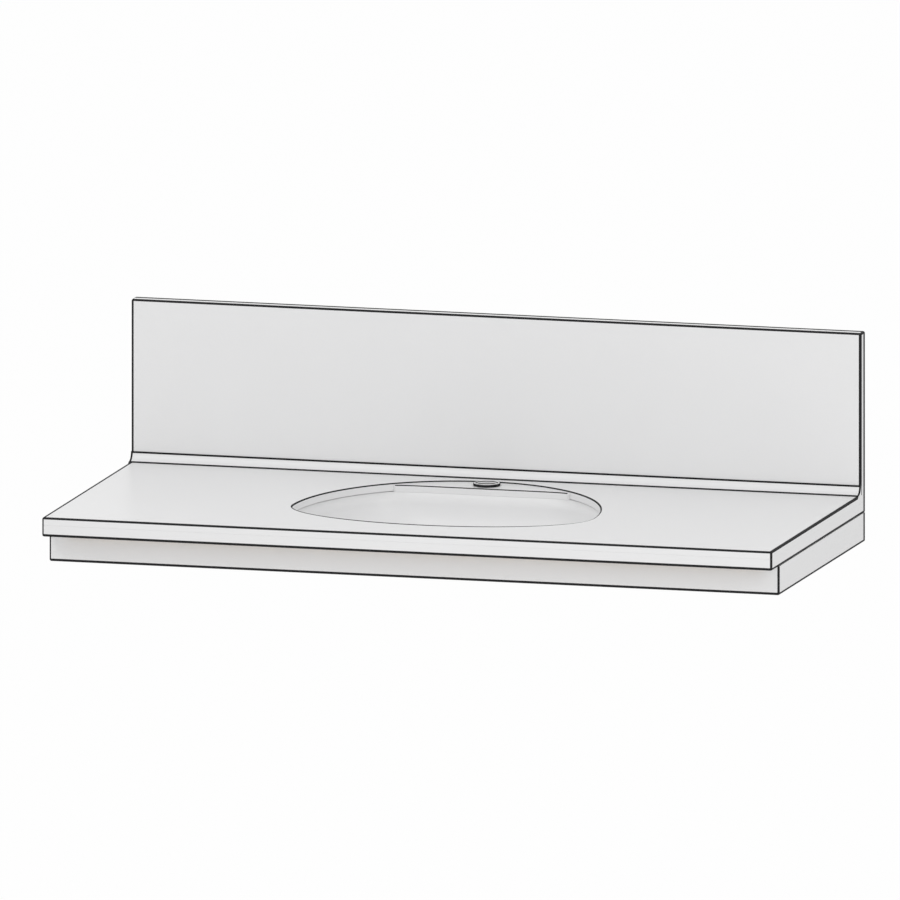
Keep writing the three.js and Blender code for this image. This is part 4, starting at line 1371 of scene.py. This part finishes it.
across = Vector((math.cos(TURN), math.sin(TURN), 0))
towards = Vector((math.sin(TURN) * math.cos(RISE), -math.cos(TURN) * math.cos(RISE), math.sin(RISE)))
upright = towards.cross(across)
lens = bpy.data.cameras.new("drawing_view")
lens.type = "ORTHO"
lens.ortho_scale = FRAME_WIDTH
lens.clip_end = SIGHT
camera = add_to_scene("drawing_view", lens)
camera.location = across * MIDDLE_ACROSS + upright * MIDDLE_UP + towards * STAND_BACK
camera.rotation_euler = turned_towards(towards)
bpy.context.scene.camera = camera
print("camera up", [round(v, 3) for v in upright])

# %% [markdown]
# The floor is far below, as under a vanity. It is matt and nearly white. To the camera it glows
# in the page's white for the most part, so that only a faint shadow stays on it, and from below
# it is clear, so that views from there still see the top.

# %% Floor
FLOOR_SIZE = 30
FLOOR_LEVEL = -0.78
FLOOR_COLOUR = (0.85, 0.85, 0.85, 1)
WHITE_SHARE = 0.96


def blank_tree(owner):
    owner.use_nodes = True
    owner.node_tree.nodes.clear()
    return owner.node_tree


def mix_shaders(tree, share, first, second):
    return add_node(tree, "ShaderNodeMixShader", {0: share, 1: first.outputs[0], 2: second.outputs[0]})


start_fresh()
bpy.ops.mesh.primitive_plane_add(size=FLOOR_SIZE, location=(0, 0, FLOOR_LEVEL))
floor = bpy.context.object
floor.name = "studio_floor"
floor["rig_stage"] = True
floor_finish = bpy.data.materials.new("white_floor")
tree = blank_tree(floor_finish)
path = add_node(tree, "ShaderNodeLightPath")
facing = add_node(tree, "ShaderNodeNewGeometry")
matt = add_node(tree, "ShaderNodeBsdfDiffuse", {"Color": FLOOR_COLOUR})
glow = add_node(tree, "ShaderNodeEmission")
clear = add_node(tree, "ShaderNodeBsdfTransparent")
share = math_node(tree, "MULTIPLY", path.outputs["Is Camera Ray"], WHITE_SHARE)
above = mix_shaders(tree, share, matt, glow)
both = mix_shaders(tree, facing.outputs["Backfacing"], above, clear)
add_node(tree, "ShaderNodeOutputMaterial", {"Surface": both.outputs[0]})
dress(floor, [floor_finish])
print("floor at", FLOOR_LEVEL)

# %% [markdown]
# The world is the page behind the top. The camera, mirrors and glass see it in full white, and
# what it gives as light is a little less, so that pale faces don't burn out.

# %% World
WORLD_LIGHT = 0.86
PAGE_LIGHT = 1.0
WHITE = (1, 1, 1, 1)
world = bpy.data.worlds.new("studio")
bpy.context.scene.world = world
tree = blank_tree(world)
path = add_node(tree, "ShaderNodeLightPath").outputs
seen = math_node(tree, "MAXIMUM", path["Is Camera Ray"], path["Is Glossy Ray"])
seen = math_node(tree, "MAXIMUM", seen, path["Is Transmission Ray"])
soft = add_node(tree, "ShaderNodeBackground", {"Color": WHITE, "Strength": WORLD_LIGHT})
page = add_node(tree, "ShaderNodeBackground", {"Color": WHITE, "Strength": PAGE_LIGHT})
sky = mix_shaders(tree, seen, soft, page)
add_node(tree, "ShaderNodeOutputWorld", {"Surface": sky.outputs[0]})
print("world light", WORLD_LIGHT)

# %% [markdown]
# The drawing has one flat grey, so the light is soft and comes from all sides. A large lamp
# high on the left lights the deck, one on the right lifts the splash and the right end, and a
# weak one low in front reaches the apron below the overhang. The Standard view shows the greys
# as they are.

# %% Lamps and view
def add_lamp(name, place, target, size, power):
    lamp_data = bpy.data.lights.new(name, "AREA")
    lamp_data.shape = "DISK"
    lamp_data.size = size
    lamp_data.energy = power
    lamp = add_to_scene(name, lamp_data)
    lamp.location = place
    lamp.rotation_euler = turned_towards(Vector(place) - Vector(target))
    print("lamp", name, power, "W")


add_lamp("soft_key", place=(-1.6, -2.6, 3.0), target=(0, -0.25, 0.05), size=2.2, power=26)
add_lamp("soft_fill", place=(2.6, -2.2, 1.4), target=(0, -0.2, 0.1), size=2.4, power=14)
add_lamp("low_front", place=(0.4, -3.2, -0.1), target=(0, -0.4, 0.05), size=2.0, power=5)
bpy.context.scene.view_settings.view_transform = "Standard"

# %% [markdown]
# The last cell measures the dressed model's box and prints it with the number of pieces made.

# %% Sizes and finish
low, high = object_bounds()
print("visual box", [round(v, 4) for v in low], [round(v, 4) for v in high], "pieces", len(made))
